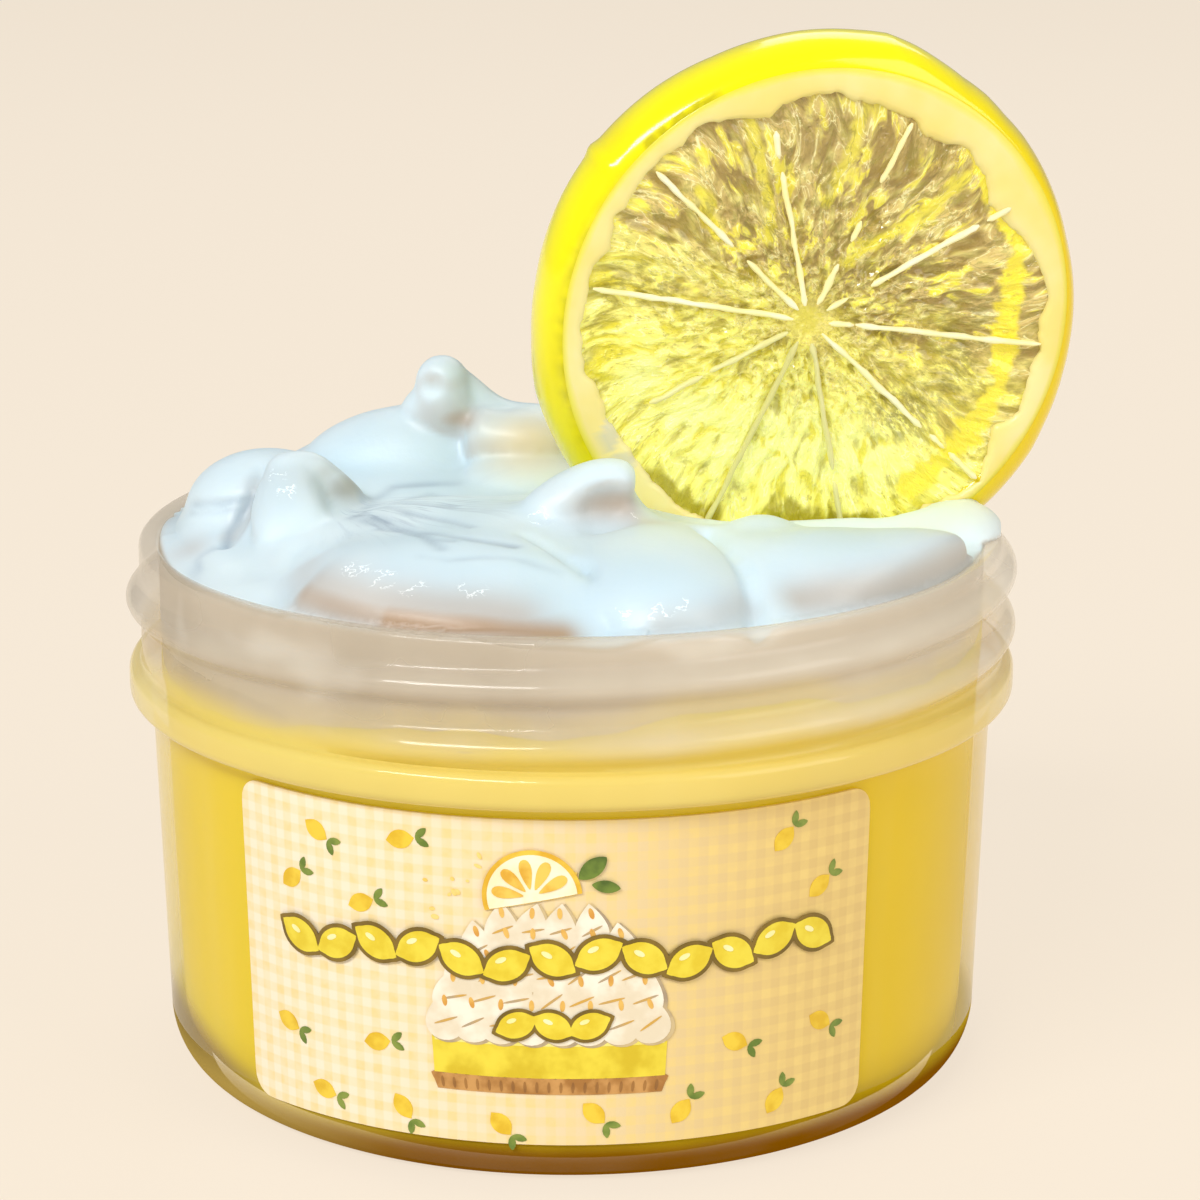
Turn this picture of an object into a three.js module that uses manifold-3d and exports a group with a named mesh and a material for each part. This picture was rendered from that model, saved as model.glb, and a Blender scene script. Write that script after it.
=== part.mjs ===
// A clear screw-neck jar of two-layer slime: glossy yellow below, whipped white heaped over
// the rim, a lemon slice charm pushed into the heap and a plain sticker on the front.
// Millimetres, +Z up. The jar stands on z = 0 with its axis on the Z axis, and the sticker
// faces -Y.

import * as THREE from 'three';
import { mergeVertices } from 'three/addons/utils/BufferGeometryUtils.js';
import Module from 'manifold-3d';

const wasm = await Module();
wasm.setup();

// ---------------------------------------------------------------- driving dimensions

const jar = {
  height: 53.2,
  lipRadius: 43,
  neckWall: 2,
  lipRound: 0.5,
  collarRadius: 44.3,
  collarBottom: 37.4,
  collarTop: 40.9,
  collarRound: 0.6,
  collarFillet: 0.4,
  neckFillet: 1,
  bodyTopRadius: 42.1,
  bodyBaseRadius: 41.2,
  bodyWall: 1.5,
  baseCornerWidth: 3.7,
  baseCornerHeight: 5.1,
  baseCornerSteps: 4,
  floorThickness: 1.8,
  innerCornerWidth: 3.3,
  innerCornerHeight: 3.9,
  innerCornerSteps: 3,
  grooveRadius: 33,
  grooveWidth: 2.4,
  grooveDepth: 0.6,
  sides: 64,
};

const thread = {
  pitch: 5.6,
  turns: 1.6,
  startAngle: -128,
  startHeight: 42.5,
  width: 3.2,
  crestRadius: 44.4,
  rootDepth: 0.9,
  footDepth: 0.2,
  endNarrowing: 0.4,
  runOutAngle: 20,
  stepsPerTurn: 42,
  arcSteps: 3,
};

const sticker = {
  width: 63.5,
  height: 31.75,
  cornerRadius: 2.2,
  bottom: 4.5,
  facing: -93,
  thickness: 0.2,
  standOff: 0.2,
  columns: 16,
  cornerSteps: 3,
};

const gap = 0.3;

// Points nearer than this are one point.
const weld = 1e-4;

// Rings over a disc lie a little closer together towards its edge.
const ringCrowding = 0.9;

// Where the yellow and the white slime meet: a mean height, a rise towards +X and ripples.
const seam = {
  height: 43.7,
  rise: 1.1,
  rings: 4,
  ripples: [
    { count: 3, swell: 0.45, phase: 40 },
    { count: 7, swell: 0.2, phase: 110 },
  ],
};

const heap = {
  edgeHeight: 52.2,
  edgeSwell: 0.5,
  edgeWaves: 5,
  crownRise: 4.9,
  crownFlatness: 5,
  rings: 27,
  sectors: 64,
  fadeFrom: 0.93,
};

// Each mound of the heap: its centre, its height over the crown, its half widths along and
// across the direction it is turned to, how far its top leans in X and Y, and its bluntness.
const mounds = [
  { name: 'front bulge', at: [-12, -27], rise: 2.4, size: [14, 8], turn: 6, lean: [0, -2.4], blunt: 1.8 },
  { name: 'middle bulge', at: [8.5, -26], rise: 1.6, size: [6.5, 9], turn: 0, lean: [0.5, -1.5], blunt: 1.6 },
  { name: 'right lobe', at: [26.5, -20], rise: 2, size: [12, 5.5], turn: 33, lean: [1.8, -1.8], blunt: 1.8 },
  { name: 'right nub', at: [37, -3], rise: 2.6, size: [6, 3.6], turn: 75, lean: [1.6, 0], blunt: 1.6 },
  { name: 'crest', at: [1.2, -14], rise: 5.8, size: [4.6, 3.3], turn: 14, lean: [2.9, -2.6], blunt: 1.2 },
  { name: 'crest root', at: [-4, -15], rise: 1.5, size: [8, 5], turn: 16, lean: [0, 0], blunt: 1 },
  { name: 'left crest', at: [-29, -2], rise: 5.2, size: [4.8, 4.2], turn: 10, lean: [2, -1.8], blunt: 1.3 },
  { name: 'left bump', at: [-35, 3], rise: 3.2, size: [6.5, 5], turn: 80, lean: [0, 0], blunt: 1.2 },
  { name: 'back ridge', at: [-12, 16], rise: 5.4, size: [16, 9], turn: -10, lean: [0, 0], blunt: 1.4 },
  { name: 'curl', at: [-11.6, 12], rise: 6.6, size: [3.6, 3.2], turn: 0, lean: [-1.6, -1.8], blunt: 1.9 },
  { name: 'fold', at: [-4, 8.5], rise: 4.2, size: [5.6, 3.6], turn: -16, lean: [1.2, -2.8], blunt: 1.6 },
  { name: 'seat', at: [22, -9], rise: -2.4, size: [15, 5], turn: 12, lean: [0, 0], blunt: 1.3 },
  { name: 'far side', at: [24, 22], rise: 1.5, size: [12, 9], turn: -30, lean: [0, 0], blunt: 1.2 },
];

// Furrows between the mounds, each a shallow trench along a straight line.
const furrows = [
  { name: 'right crease', from: [12, -22], to: [15.3, -38], depth: 3.2, halfWidth: 1.5 },
  { name: 'middle crease', from: [1, -24], to: [3.8, -38], depth: 2, halfWidth: 1.4 },
  { name: 'left crease', from: [-34, -7], to: [-27, -27], depth: 1.8, halfWidth: 1.7 },
  { name: 'bulge crease', from: [-24, -17], to: [-27, -32], depth: 1.6, halfWidth: 1.6 },
  { name: 'fold crease', from: [-14, 7], to: [-1, 1.5], depth: 1.2, halfWidth: 2 },
];

const slice = {
  centre: { x: 24, y: -6, z: 74.4 },
  turn: 12.4,
  lean: 7.9,
  thickness: 9,
  faceRadius: 25.1,
  rindRadius: 27.4,
  rindSteps: 5,
  fleshRadius: 23.3,
  fleshSink: 0.7,
  scallop: 0.45,
  scallopsPerWedge: 2,
  hub: { right: -1, up: 0.6 },
  hubRadius: 1.3,
  wedges: 10,
  wedgeStart: 27,
  sectorsPerWedge: 7,
  blankSectors: 40,
  fleshRings: 6,
  fleshWall: 0.985,
  pulpRelief: 0.35,
  pulpWaves: 7,
  pulpUneven: 0.5,
  pulpTwist: 3,
  sinkFrom: 0.12,
  membraneRise: 0.5,
  swell: { angle: 72, rise: 0.6, width: 11 },
};

const colours = {
  jar: 0xe6ddcd,
  sticker: 0xfff4d6,
  yellowSlime: 0xeed75c,
  whiteSlime: 0xe9f1f5,
  lemon: 0xf8ec2a,
};

// ---------------------------------------------------------------- helpers

const radians = (degrees) => THREE.MathUtils.degToRad(degrees);

const smooth = (from, to, value) => THREE.MathUtils.smoothstep(value, from, to);

// Six times the volume under every triangle: negative when the faces point inwards.
function signedVolume(position, index) {
  const a = new THREE.Vector3();
  const b = new THREE.Vector3();
  const c = new THREE.Vector3();
  let volume = 0;
  for (let i = 0; i < index.length; i += 3) {
    a.fromBufferAttribute(position, index[i]);
    b.fromBufferAttribute(position, index[i + 1]);
    c.fromBufferAttribute(position, index[i + 2]);
    volume += a.dot(b.cross(c));
  }
  return volume;
}

// Keeps positions alone, joins equal points, drops slivers and turns the faces outwards.
function closedBody(geometry) {
  const bare = geometry.index ? geometry.clone() : geometry;
  bare.deleteAttribute('normal');
  bare.deleteAttribute('uv');
  const merged = mergeVertices(bare, weld);
  const index = [];
  for (let i = 0; i < merged.index.count; i += 3) {
    const corners = [0, 1, 2].map((k) => merged.index.getX(i + k));
    if (new Set(corners).size === 3) index.push(...corners);
  }
  if (signedVolume(merged.attributes.position, index) < 0) index.reverse();
  merged.setIndex(index);
  return merged;
}

function toSolid(geometry) {
  const body = closedBody(geometry);
  const vertProperties = new Float32Array(body.attributes.position.array);
  const triVerts = new Uint32Array(body.index.array);
  return new wasm.Manifold(new wasm.Mesh({ numProp: 3, vertProperties, triVerts }));
}

function fromSolid(solid) {
  const mesh = solid.getMesh();
  const geometry = new THREE.BufferGeometry();
  geometry.setAttribute('position', new THREE.BufferAttribute(mesh.vertProperties, 3));
  geometry.setIndex(new THREE.BufferAttribute(mesh.triVerts, 1));
  return geometry;
}

// A closed skin over a stack of rings of equal size, with one point closing each end.
function ringStack(rings, firstPoint, lastPoint) {
  const size = rings[0].length;
  const positions = [firstPoint, ...rings.flat(), lastPoint].flatMap((p) => [p.x, p.y, p.z]);
  const last = rings.length * size + 1;
  const at = (ring, k) => 1 + ring * size + (k % size);
  const index = [];
  for (let k = 0; k < size; k += 1) {
    index.push(0, at(0, k), at(0, k + 1));
    index.push(last, at(rings.length - 1, k + 1), at(rings.length - 1, k));
    for (let ring = 0; ring < rings.length - 1; ring += 1) {
      index.push(at(ring, k), at(ring + 1, k), at(ring, k + 1));
      index.push(at(ring, k + 1), at(ring + 1, k), at(ring + 1, k + 1));
    }
  }
  const geometry = new THREE.BufferGeometry();
  geometry.setAttribute('position', new THREE.Float32BufferAttribute(positions, 3));
  geometry.setIndex(index);
  return closedBody(geometry);
}

// A turned solid about Z from a profile of (radius, height) points.
function turned(profile) {
  const geometry = new THREE.LatheGeometry(profile, jar.sides);
  geometry.rotateX(Math.PI / 2);
  return geometry;
}

// Points along an arc of an ellipse, between two angles in degrees.
function arc(centreRadius, centreHeight, reach, rise, from, to, steps) {
  const points = [];
  for (let k = 0; k <= steps; k += 1) {
    const angle = radians(from + ((to - from) * k) / steps);
    const radius = centreRadius + reach * Math.cos(angle);
    points.push(new THREE.Vector2(radius, centreHeight + rise * Math.sin(angle)));
  }
  return points;
}

// ---------------------------------------------------------------- jar

const boreRadius = jar.lipRadius - jar.neckWall;
const bodyBoreTop = jar.bodyTopRadius - jar.bodyWall;
const bodyBoreBase = jar.bodyBaseRadius - jar.bodyWall;

// Outer radius of the plain body, which tapers towards the base.
function bodyRadius(height) {
  const along = (height - jar.baseCornerHeight) / (jar.collarBottom - jar.baseCornerHeight);
  return THREE.MathUtils.lerp(jar.bodyBaseRadius, jar.bodyTopRadius, along);
}

// The round corner between the bore and the floor, or the slime's own corner inside it.
function innerCorner(clearance) {
  const radius = bodyBoreBase - jar.innerCornerWidth - clearance;
  const height = jar.floorThickness + jar.innerCornerHeight + clearance;
  return arc(radius, height, jar.innerCornerWidth, jar.innerCornerHeight, 0, -90, jar.innerCornerSteps);
}

function jarProfile() {
  const point = (radius, height) => new THREE.Vector2(radius, height);
  const footRadius = jar.bodyBaseRadius - jar.baseCornerWidth;
  const grooveOuter = jar.grooveRadius + jar.grooveWidth / 2;
  const grooveInner = jar.grooveRadius - jar.grooveWidth / 2;
  const collarFlat = jar.collarRadius - jar.collarRound;
  const lipOuter = jar.lipRadius - jar.lipRound;
  const lipInner = boreRadius + jar.lipRound;
  const lipBase = jar.height - jar.lipRound;
  const foot = [footRadius, jar.baseCornerHeight, jar.baseCornerWidth, jar.baseCornerHeight];
  return [
    point(0, 0),
    point(grooveInner, 0),
    point(grooveInner + jar.grooveDepth, jar.grooveDepth),
    point(grooveOuter - jar.grooveDepth, jar.grooveDepth),
    point(grooveOuter, 0),
    ...arc(...foot, -90, 0, jar.baseCornerSteps),
    point(jar.bodyTopRadius, jar.collarBottom - jar.collarFillet),
    ...arc(collarFlat, jar.collarBottom + jar.collarRound, jar.collarRound, jar.collarRound, -90, 0, 2),
    ...arc(collarFlat, jar.collarTop - jar.collarRound, jar.collarRound, jar.collarRound, 0, 90, 2),
    point(jar.lipRadius, jar.collarTop + jar.collarFillet),
    ...arc(lipOuter, lipBase, jar.lipRound, jar.lipRound, 0, 90, 2),
    ...arc(lipInner, lipBase, jar.lipRound, jar.lipRound, 90, 180, 2),
    point(boreRadius, jar.collarTop + jar.neckFillet),
    point(bodyBoreTop, jar.collarBottom),
    ...innerCorner(0),
    point(0, jar.floorThickness),
  ];
}

// Height of the thread's middle after turning this many degrees from its start.
function threadHeight(turnedBy) {
  return thread.startHeight + (thread.pitch * turnedBy) / 360;
}

// The section of the thread: a half round that stands on the neck, rooted inside the wall.
function threadSection(angle, height, fullness) {
  const root = jar.lipRadius - thread.rootDepth;
  const base = jar.lipRadius - thread.footDepth;
  const rise = (thread.crestRadius - base) * fullness;
  const half = (thread.width / 2) * (1 - thread.endNarrowing * (1 - fullness));
  const section = [new THREE.Vector2(root, height - half)];
  section.push(...arc(base, height, rise, half, -90, 90, thread.arcSteps));
  section.push(new THREE.Vector2(root, height + half));
  return section.map((p) => new THREE.Vector3(p.x * Math.cos(angle), p.x * Math.sin(angle), p.y));
}

function threadGeometry() {
  const steps = Math.round(thread.turns * thread.stepsPerTurn);
  const rings = [];
  for (let k = 0; k <= steps; k += 1) {
    const turnedBy = (thread.turns * 360 * k) / steps;
    const toEnd = Math.min(turnedBy, thread.turns * 360 - turnedBy);
    const fullness = smooth(0, thread.runOutAngle, toEnd);
    rings.push(threadSection(radians(thread.startAngle + turnedBy), threadHeight(turnedBy), fullness));
  }
  const middle = (ring) => ring.reduce((sum, p) => sum.add(p), new THREE.Vector3()).divideScalar(ring.length);
  return ringStack(rings, middle(rings[0]), middle(rings[rings.length - 1]));
}

function jarGeometry() {
  const shell = toSolid(turned(jarProfile()));
  return fromSolid(shell.add(toSolid(threadGeometry())));
}

// ---------------------------------------------------------------- sticker

// Half height of the sticker at a distance from its middle line, less in the round corners.
function stickerHalfHeight(across) {
  const intoCorner = Math.abs(across) - (sticker.width / 2 - sticker.cornerRadius);
  if (intoCorner <= 0) return sticker.height / 2;
  const cut = sticker.cornerRadius - Math.sqrt(sticker.cornerRadius ** 2 - intoCorner ** 2);
  return sticker.height / 2 - cut;
}

function stickerColumns() {
  const straight = sticker.width / 2 - sticker.cornerRadius;
  const columns = [];
  for (let k = 0; k <= sticker.columns; k += 1) columns.push(straight * ((2 * k) / sticker.columns - 1));
  for (let k = 1; k <= sticker.cornerSteps; k += 1) {
    const reach = straight + sticker.cornerRadius * Math.sin(radians((90 * k) / sticker.cornerSteps));
    columns.push(reach);
    columns.unshift(-reach);
  }
  return columns;
}

function stickerGeometry() {
  const middleHeight = sticker.bottom + sticker.height / 2;
  const bendRadius = bodyRadius(middleHeight);
  const place = (across, height, offset) => {
    const angle = radians(sticker.facing) + across / bendRadius;
    const radius = bodyRadius(height) + offset;
    return new THREE.Vector3(radius * Math.cos(angle), radius * Math.sin(angle), height);
  };
  const back = sticker.standOff;
  const front = sticker.standOff + sticker.thickness;
  const rings = stickerColumns().map((across) => {
    const low = middleHeight - stickerHalfHeight(across);
    const high = middleHeight + stickerHalfHeight(across);
    return [
      place(across, low, back),
      place(across, low, front),
      place(across, high, front),
      place(across, high, back),
    ];
  });
  const endPoint = (side) => place((side * sticker.width) / 2, middleHeight, (back + front) / 2);
  return ringStack(rings, endPoint(-1), endPoint(1));
}

// ---------------------------------------------------------------- slime

// Height of the seam between the two slimes at a place in the jar.
function seamHeight(x, y) {
  const radius = Math.hypot(x, y) / boreRadius;
  const angle = Math.atan2(y, x);
  let height = seam.height + (seam.rise * x) / boreRadius;
  for (const ripple of seam.ripples) {
    height += ripple.swell * radius ** 2 * Math.sin(ripple.count * angle + radians(ripple.phase));
  }
  return height;
}

// Rings of points over a disc, each lifted to a height by a rule.
function discRings(radius, rings, sectors, heightAt) {
  const stack = [];
  for (let ring = 1; ring <= rings; ring += 1) {
    const reach = radius * (ring / rings) ** ringCrowding;
    const points = [];
    for (let k = 0; k < sectors; k += 1) {
      const angle = (2 * Math.PI * k) / sectors;
      const x = reach * Math.cos(angle);
      const y = reach * Math.sin(angle);
      points.push(new THREE.Vector3(x, y, heightAt(x, y)));
    }
    stack.push(points);
  }
  return stack;
}

function yellowSlimeGeometry() {
  const under = (x, y) => seamHeight(x, y) - gap / 2;
  const topRadius = bodyBoreTop - gap;
  const top = discRings(topRadius, seam.rings, jar.sides, under);
  const wall = [new THREE.Vector2(topRadius, jar.collarBottom), ...innerCorner(gap)];
  const sides = wall.map((p) => top[0].map((unused, k) => {
    const angle = (2 * Math.PI * k) / jar.sides;
    return new THREE.Vector3(p.x * Math.cos(angle), p.x * Math.sin(angle), p.y);
  }));
  const crown = new THREE.Vector3(0, 0, under(0, 0));
  const foot = new THREE.Vector3(0, 0, jar.floorThickness + gap);
  return ringStack([...top, ...sides], crown, foot);
}

// How strongly a mound is felt at a place: 1 at its centre, falling to 0 outside it.
function moundShare(mound, x, y) {
  const offset = new THREE.Vector2(x, y).sub(new THREE.Vector2(...mound.at));
  offset.rotateAround(new THREE.Vector2(), -radians(mound.turn)).divide(new THREE.Vector2(...mound.size));
  return Math.exp(-(offset.lengthSq() ** mound.blunt));
}

function furrowShare(furrow, x, y) {
  const start = new THREE.Vector3(...furrow.from, 0);
  const line = new THREE.Line3(start, new THREE.Vector3(...furrow.to, 0));
  const place = new THREE.Vector3(x, y, 0);
  const nearest = line.closestPointToPoint(place, true, new THREE.Vector3());
  return Math.exp(-((nearest.distanceTo(place) / furrow.halfWidth) ** 2));
}

// A point of the heap's top. Near the wall the mounds fade, and no point leans past the bore.
function heapPoint(x, y) {
  const radius = Math.hypot(x, y) / (boreRadius - gap);
  const angle = Math.atan2(y, x);
  const edge = heap.edgeHeight + heap.edgeSwell * Math.sin(heap.edgeWaves * angle);
  const point = new THREE.Vector3(x, y, edge + heap.crownRise * (1 - radius ** heap.crownFlatness));
  const fade = 1 - smooth(heap.fadeFrom, 1, radius);
  for (const furrow of furrows) point.z -= furrow.depth * furrowShare(furrow, x, y) * fade;
  for (const mound of mounds) {
    const share = moundShare(mound, x, y) * fade;
    point.add(new THREE.Vector3(...mound.lean, mound.rise).multiplyScalar(share));
  }
  const past = Math.hypot(point.x, point.y) / (boreRadius - gap);
  if (past > 1) point.set(point.x / past, point.y / past, point.z);
  return point;
}

function whiteSlimeGeometry() {
  const radius = boreRadius - gap;
  const over = (x, y) => seamHeight(x, y) + gap / 2;
  const top = discRings(radius, heap.rings, heap.sectors, () => 0);
  for (const ring of top) {
    ring.forEach((p, k) => { ring[k] = heapPoint(p.x, p.y); });
  }
  const bottom = discRings(radius, seam.rings, heap.sectors, over).reverse();
  const crown = heapPoint(0, 0);
  const underside = new THREE.Vector3(0, 0, over(0, 0));
  const body = toSolid(ringStack([...top, ...bottom], crown, underside));
  return fromSolid(body.subtract(toSolid(placedSlice(sliceBlank(gap)))));
}

// ---------------------------------------------------------------- lemon slice

const sliceSectors = slice.wedges * slice.sectorsPerWedge;

// The slice lies in its own plane while it is built: X to its right, Y up its face, and Z out
// of its front. The front face is at z = 0 and the back one at z = -thickness.
function placedSlice(geometry) {
  const turn = radians(slice.turn);
  const lean = radians(slice.lean);
  const place = new THREE.Matrix4().makeTranslation(slice.centre.x, slice.centre.y, slice.centre.z);
  place.multiply(new THREE.Matrix4().makeRotationZ(turn));
  place.multiply(new THREE.Matrix4().makeRotationX(Math.PI / 2 + lean));
  return geometry.clone().applyMatrix4(place);
}

// The rind's outline is a little out of round.
function rindSwell(angle) {
  const turnedPast = THREE.MathUtils.radToDeg(angle) - slice.swell.angle + 180;
  const away = THREE.MathUtils.euclideanModulo(turnedPast, 360) - 180;
  return slice.swell.rise * Math.exp(-((away / slice.swell.width) ** 2));
}

function onCircle(radius, angle, depth) {
  return new THREE.Vector3(radius * Math.cos(angle), radius * Math.sin(angle), depth);
}

// The rind's rings, from the front face round the outside to the back face.
function rindRings(sectors, startAngle, grow) {
  const rings = [];
  const bulge = slice.rindRadius - slice.faceRadius;
  const half = slice.thickness / 2;
  for (let k = 0; k <= slice.rindSteps; k += 1) {
    const swing = radians(90 - (180 * k) / slice.rindSteps);
    const depth = -half + (half + grow) * Math.sin(swing);
    rings.push(Array.from({ length: sectors }, (unused, sector) => {
      const angle = startAngle + (2 * Math.PI * sector) / sectors;
      const reach = slice.faceRadius + grow + (bulge + rindSwell(angle)) * Math.cos(swing);
      return onCircle(reach, angle, depth);
    }));
  }
  return rings;
}

// The slice's plain outer form, grown all over, that cuts its seat in the heap.
function sliceBlank(grow) {
  const rings = rindRings(slice.blankSectors, 0, grow);
  const front = new THREE.Vector3(0, 0, grow);
  const back = new THREE.Vector3(0, 0, -slice.thickness - grow);
  return ringStack(rings, front, back);
}

// Relief of the flesh: sunk below the pith, ribbed like pulp between the wedge lines, with a
// raised membrane on every wedge line. share runs from 0 at the hub to 1 at the flesh's edge.
function fleshDepth(share, sector) {
  const sink = slice.fleshSink * smooth(0, slice.sinkFrom, share);
  if (sector % slice.sectorsPerWedge === 0) return slice.membraneRise - sink;
  const side = sector % 2 ? 1 : -1;
  const wave = Math.sin(slice.pulpWaves * share + slice.pulpTwist * sector);
  return side * slice.pulpRelief * share * (1 + slice.pulpUneven * wave) - sink;
}

function fleshEdge(sector) {
  const angle = (2 * Math.PI * sector) / sliceSectors + radians(slice.wedgeStart);
  const scallop = slice.scallop * Math.cos(slice.wedges * slice.scallopsPerWedge * angle);
  return onCircle(slice.fleshRadius + scallop, angle, 0);
}

// One face of the slice, from just round the hub out to the pith's inner edge.
function fleshRings(side) {
  const hub = new THREE.Vector3(slice.hub.right, slice.hub.up, 0);
  const faceHeight = side > 0 ? 0 : -slice.thickness;
  const rings = [];
  for (let ring = 0; ring <= slice.fleshRings; ring += 1) {
    const first = slice.hubRadius / slice.fleshRadius;
    const share = first + ((1 - first) * ring) / slice.fleshRings;
    const points = [];
    for (let sector = 0; sector < sliceSectors; sector += 1) {
      const point = hub.clone().lerp(fleshEdge(sector), share * slice.fleshWall);
      point.z = faceHeight + side * fleshDepth(share, sector);
      points.push(point);
    }
    rings.push(points);
  }
  rings.push(rings[0].map((unused, sector) => fleshEdge(sector).setZ(faceHeight)));
  return rings;
}

function lemonSliceGeometry() {
  const front = fleshRings(1);
  const rind = rindRings(sliceSectors, radians(slice.wedgeStart), 0);
  const back = fleshRings(-1).reverse();
  const frontHub = new THREE.Vector3(slice.hub.right, slice.hub.up, 0);
  const backHub = new THREE.Vector3(slice.hub.right, slice.hub.up, -slice.thickness);
  return placedSlice(ringStack([...front, ...rind, ...back], frontHub, backHub));
}

// ---------------------------------------------------------------- the model

function part(name, geometry, color, roughness) {
  const material = new THREE.MeshStandardMaterial({ color, roughness, metalness: 0 });
  const mesh = new THREE.Mesh(geometry, material);
  mesh.name = name;
  return mesh;
}

const slimeJar = new THREE.Group();
slimeJar.add(
  part('jar', jarGeometry(), colours.jar, 0.35),
  part('sticker', stickerGeometry(), colours.sticker, 0.6),
  part('yellow_slime', yellowSlimeGeometry(), colours.yellowSlime, 0.25),
  part('white_slime', whiteSlimeGeometry(), colours.whiteSlime, 0.3),
  part('lemon_slice', lemonSliceGeometry(), colours.lemon, 0.25),
);

export default slimeJar;
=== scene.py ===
import math
import random
import bpy
import numpy as np
from mathutils import Matrix, Vector, noise
from mathutils.bvhtree import BVHTree


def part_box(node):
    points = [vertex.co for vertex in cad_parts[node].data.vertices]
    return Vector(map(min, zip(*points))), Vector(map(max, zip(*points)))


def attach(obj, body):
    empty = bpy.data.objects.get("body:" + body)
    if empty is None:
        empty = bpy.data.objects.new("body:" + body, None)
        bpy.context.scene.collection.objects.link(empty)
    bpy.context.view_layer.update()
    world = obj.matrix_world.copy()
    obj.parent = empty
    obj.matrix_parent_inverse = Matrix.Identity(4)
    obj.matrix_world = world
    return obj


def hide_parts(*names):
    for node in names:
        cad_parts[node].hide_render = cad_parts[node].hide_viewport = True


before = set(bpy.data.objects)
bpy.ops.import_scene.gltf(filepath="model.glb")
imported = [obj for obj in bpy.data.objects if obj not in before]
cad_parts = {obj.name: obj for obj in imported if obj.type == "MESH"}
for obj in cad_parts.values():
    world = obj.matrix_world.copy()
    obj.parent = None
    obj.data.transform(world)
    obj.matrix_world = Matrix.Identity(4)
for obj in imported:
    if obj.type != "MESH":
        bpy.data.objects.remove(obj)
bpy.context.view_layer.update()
mm = 0.001
print("frame loaded")


# small tools

def pickOnly(obj):
    bpy.ops.object.select_all(action="DESELECT")
    obj.select_set(True)
    bpy.context.view_layer.objects.active = obj


def editOn(obj):
    pickOnly(obj)
    bpy.ops.object.mode_set(mode="EDIT")
    bpy.ops.mesh.select_all(action="SELECT")


def editOff():
    bpy.ops.object.mode_set(mode="OBJECT")


def newPrimitive(name, adder, **settings):
    bpy.ops.object.select_all(action="DESELECT")
    adder(**settings)
    bpy.context.object.name = name
    return bpy.context.object


def joined(name, objects):
    pickOnly(objects[0])
    for obj in objects:
        obj.select_set(True)
    bpy.ops.object.join()
    objects[0].name = name
    return objects[0]


def modify(obj, kind, **settings):
    pickOnly(obj)
    bpy.ops.object.modifier_add(type=kind)
    made = obj.modifiers[-1]
    for key, value in settings.items():
        setattr(made, key, value)
    bpy.ops.object.modifier_apply(modifier=made.name)


def weld(obj, distance=0.002):
    editOn(obj)
    bpy.ops.mesh.remove_doubles(threshold=distance * mm)
    bpy.ops.mesh.normals_make_consistent(inside=False)
    editOff()


def shadeSmooth(obj, angle):
    pickOnly(obj)
    bpy.ops.object.shade_smooth_by_angle(angle=math.radians(angle))


def readVectors(obj, field):
    values = np.empty(len(obj.data.vertices) * 3, np.float32)
    obj.data.vertices.foreach_get(field, values)
    return values.reshape(-1, 3).astype(float)


# points are handled in millimetres
def readPoints(obj):
    return readVectors(obj, "co") / mm


def writePoints(obj, points):
    obj.data.vertices.foreach_set("co", (points * mm).astype(np.float32).ravel())
    obj.data.update()


# distance from the Z axis, and the angle round it in degrees
def polar(points):
    x, y = points[:, 0], points[:, 1]
    return np.hypot(x, y), np.degrees(np.arctan2(y, x))


def away(angles, middle):
    return (angles - middle + 180) % 360 - 180


def eased(value, low, high):
    share = np.clip((value - low) / (high - low), 0, 1)
    return share * share * (3 - 2 * share)


# a hill that is 1 at its middle, flat on top where the power is 4
def hill(distance, width, power=2):
    return np.exp(-(distance / width) ** power)


# the same by the angle round the Z axis
def sector(angles, middle, width, power=4):
    return hill(away(angles, middle), width, power)


def noiseAt(spots):
    return np.array([noise.noise(Vector(spot)) for spot in spots])


def distanceToPath(points, path):
    nearest = np.full(len(points), 1e9)
    for first, last in zip(path, path[1:]):
        first, last = np.array(first), np.array(last)
        line = last - first
        share = np.clip((points - first) @ line / (line @ line), 0, 1)
        nearest = np.minimum(nearest, np.linalg.norm(points - first - share[:, None] * line, axis=1))
    return nearest


# a soft spot in space: 1 in its middle, fading out over its size
def spotAt(points, at, size):
    return np.exp(-(((points - np.array(at)) / np.array(size)) ** 2).sum(axis=1))


def spotsAt(points, spots):
    return np.max([spotAt(points, at, size) for at, size in spots], axis=0)


def paint(obj, name, values):
    values = np.asarray(values, np.float32)
    kind, field = ("FLOAT_VECTOR", "vector") if values.ndim == 2 else ("FLOAT", "value")
    layer = obj.data.attributes.new(name, kind, "POINT")
    layer.data.foreach_set(field, values.ravel())


def finishPiece(obj, material, solid):
    obj.data.materials.clear()
    obj.data.materials.append(material)
    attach(obj, "root")
    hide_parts(solid)


# turns a list of (radius, height) points round the Z axis
def spun(name, profile, steps):
    obj = newPrimitive(name, bpy.ops.mesh.primitive_plane_add, size=mm)
    editOn(obj)
    bpy.ops.mesh.merge(type="CENTER")
    bpy.ops.transform.translate(value=(profile[0][0] * mm, 0, profile[0][1] * mm))
    for before, after in zip(profile, profile[1:]):
        step = ((after[0] - before[0]) * mm, 0, (after[1] - before[1]) * mm)
        bpy.ops.mesh.extrude_vertices_move(TRANSFORM_OT_translate={"value": step})
    bpy.ops.mesh.select_all(action="SELECT")
    bpy.ops.mesh.spin(steps=steps, angle=math.tau, center=(0, 0, 0), axis=(0, 0, 1))
    editOff()
    weld(obj, 0.004)
    return obj


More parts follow.
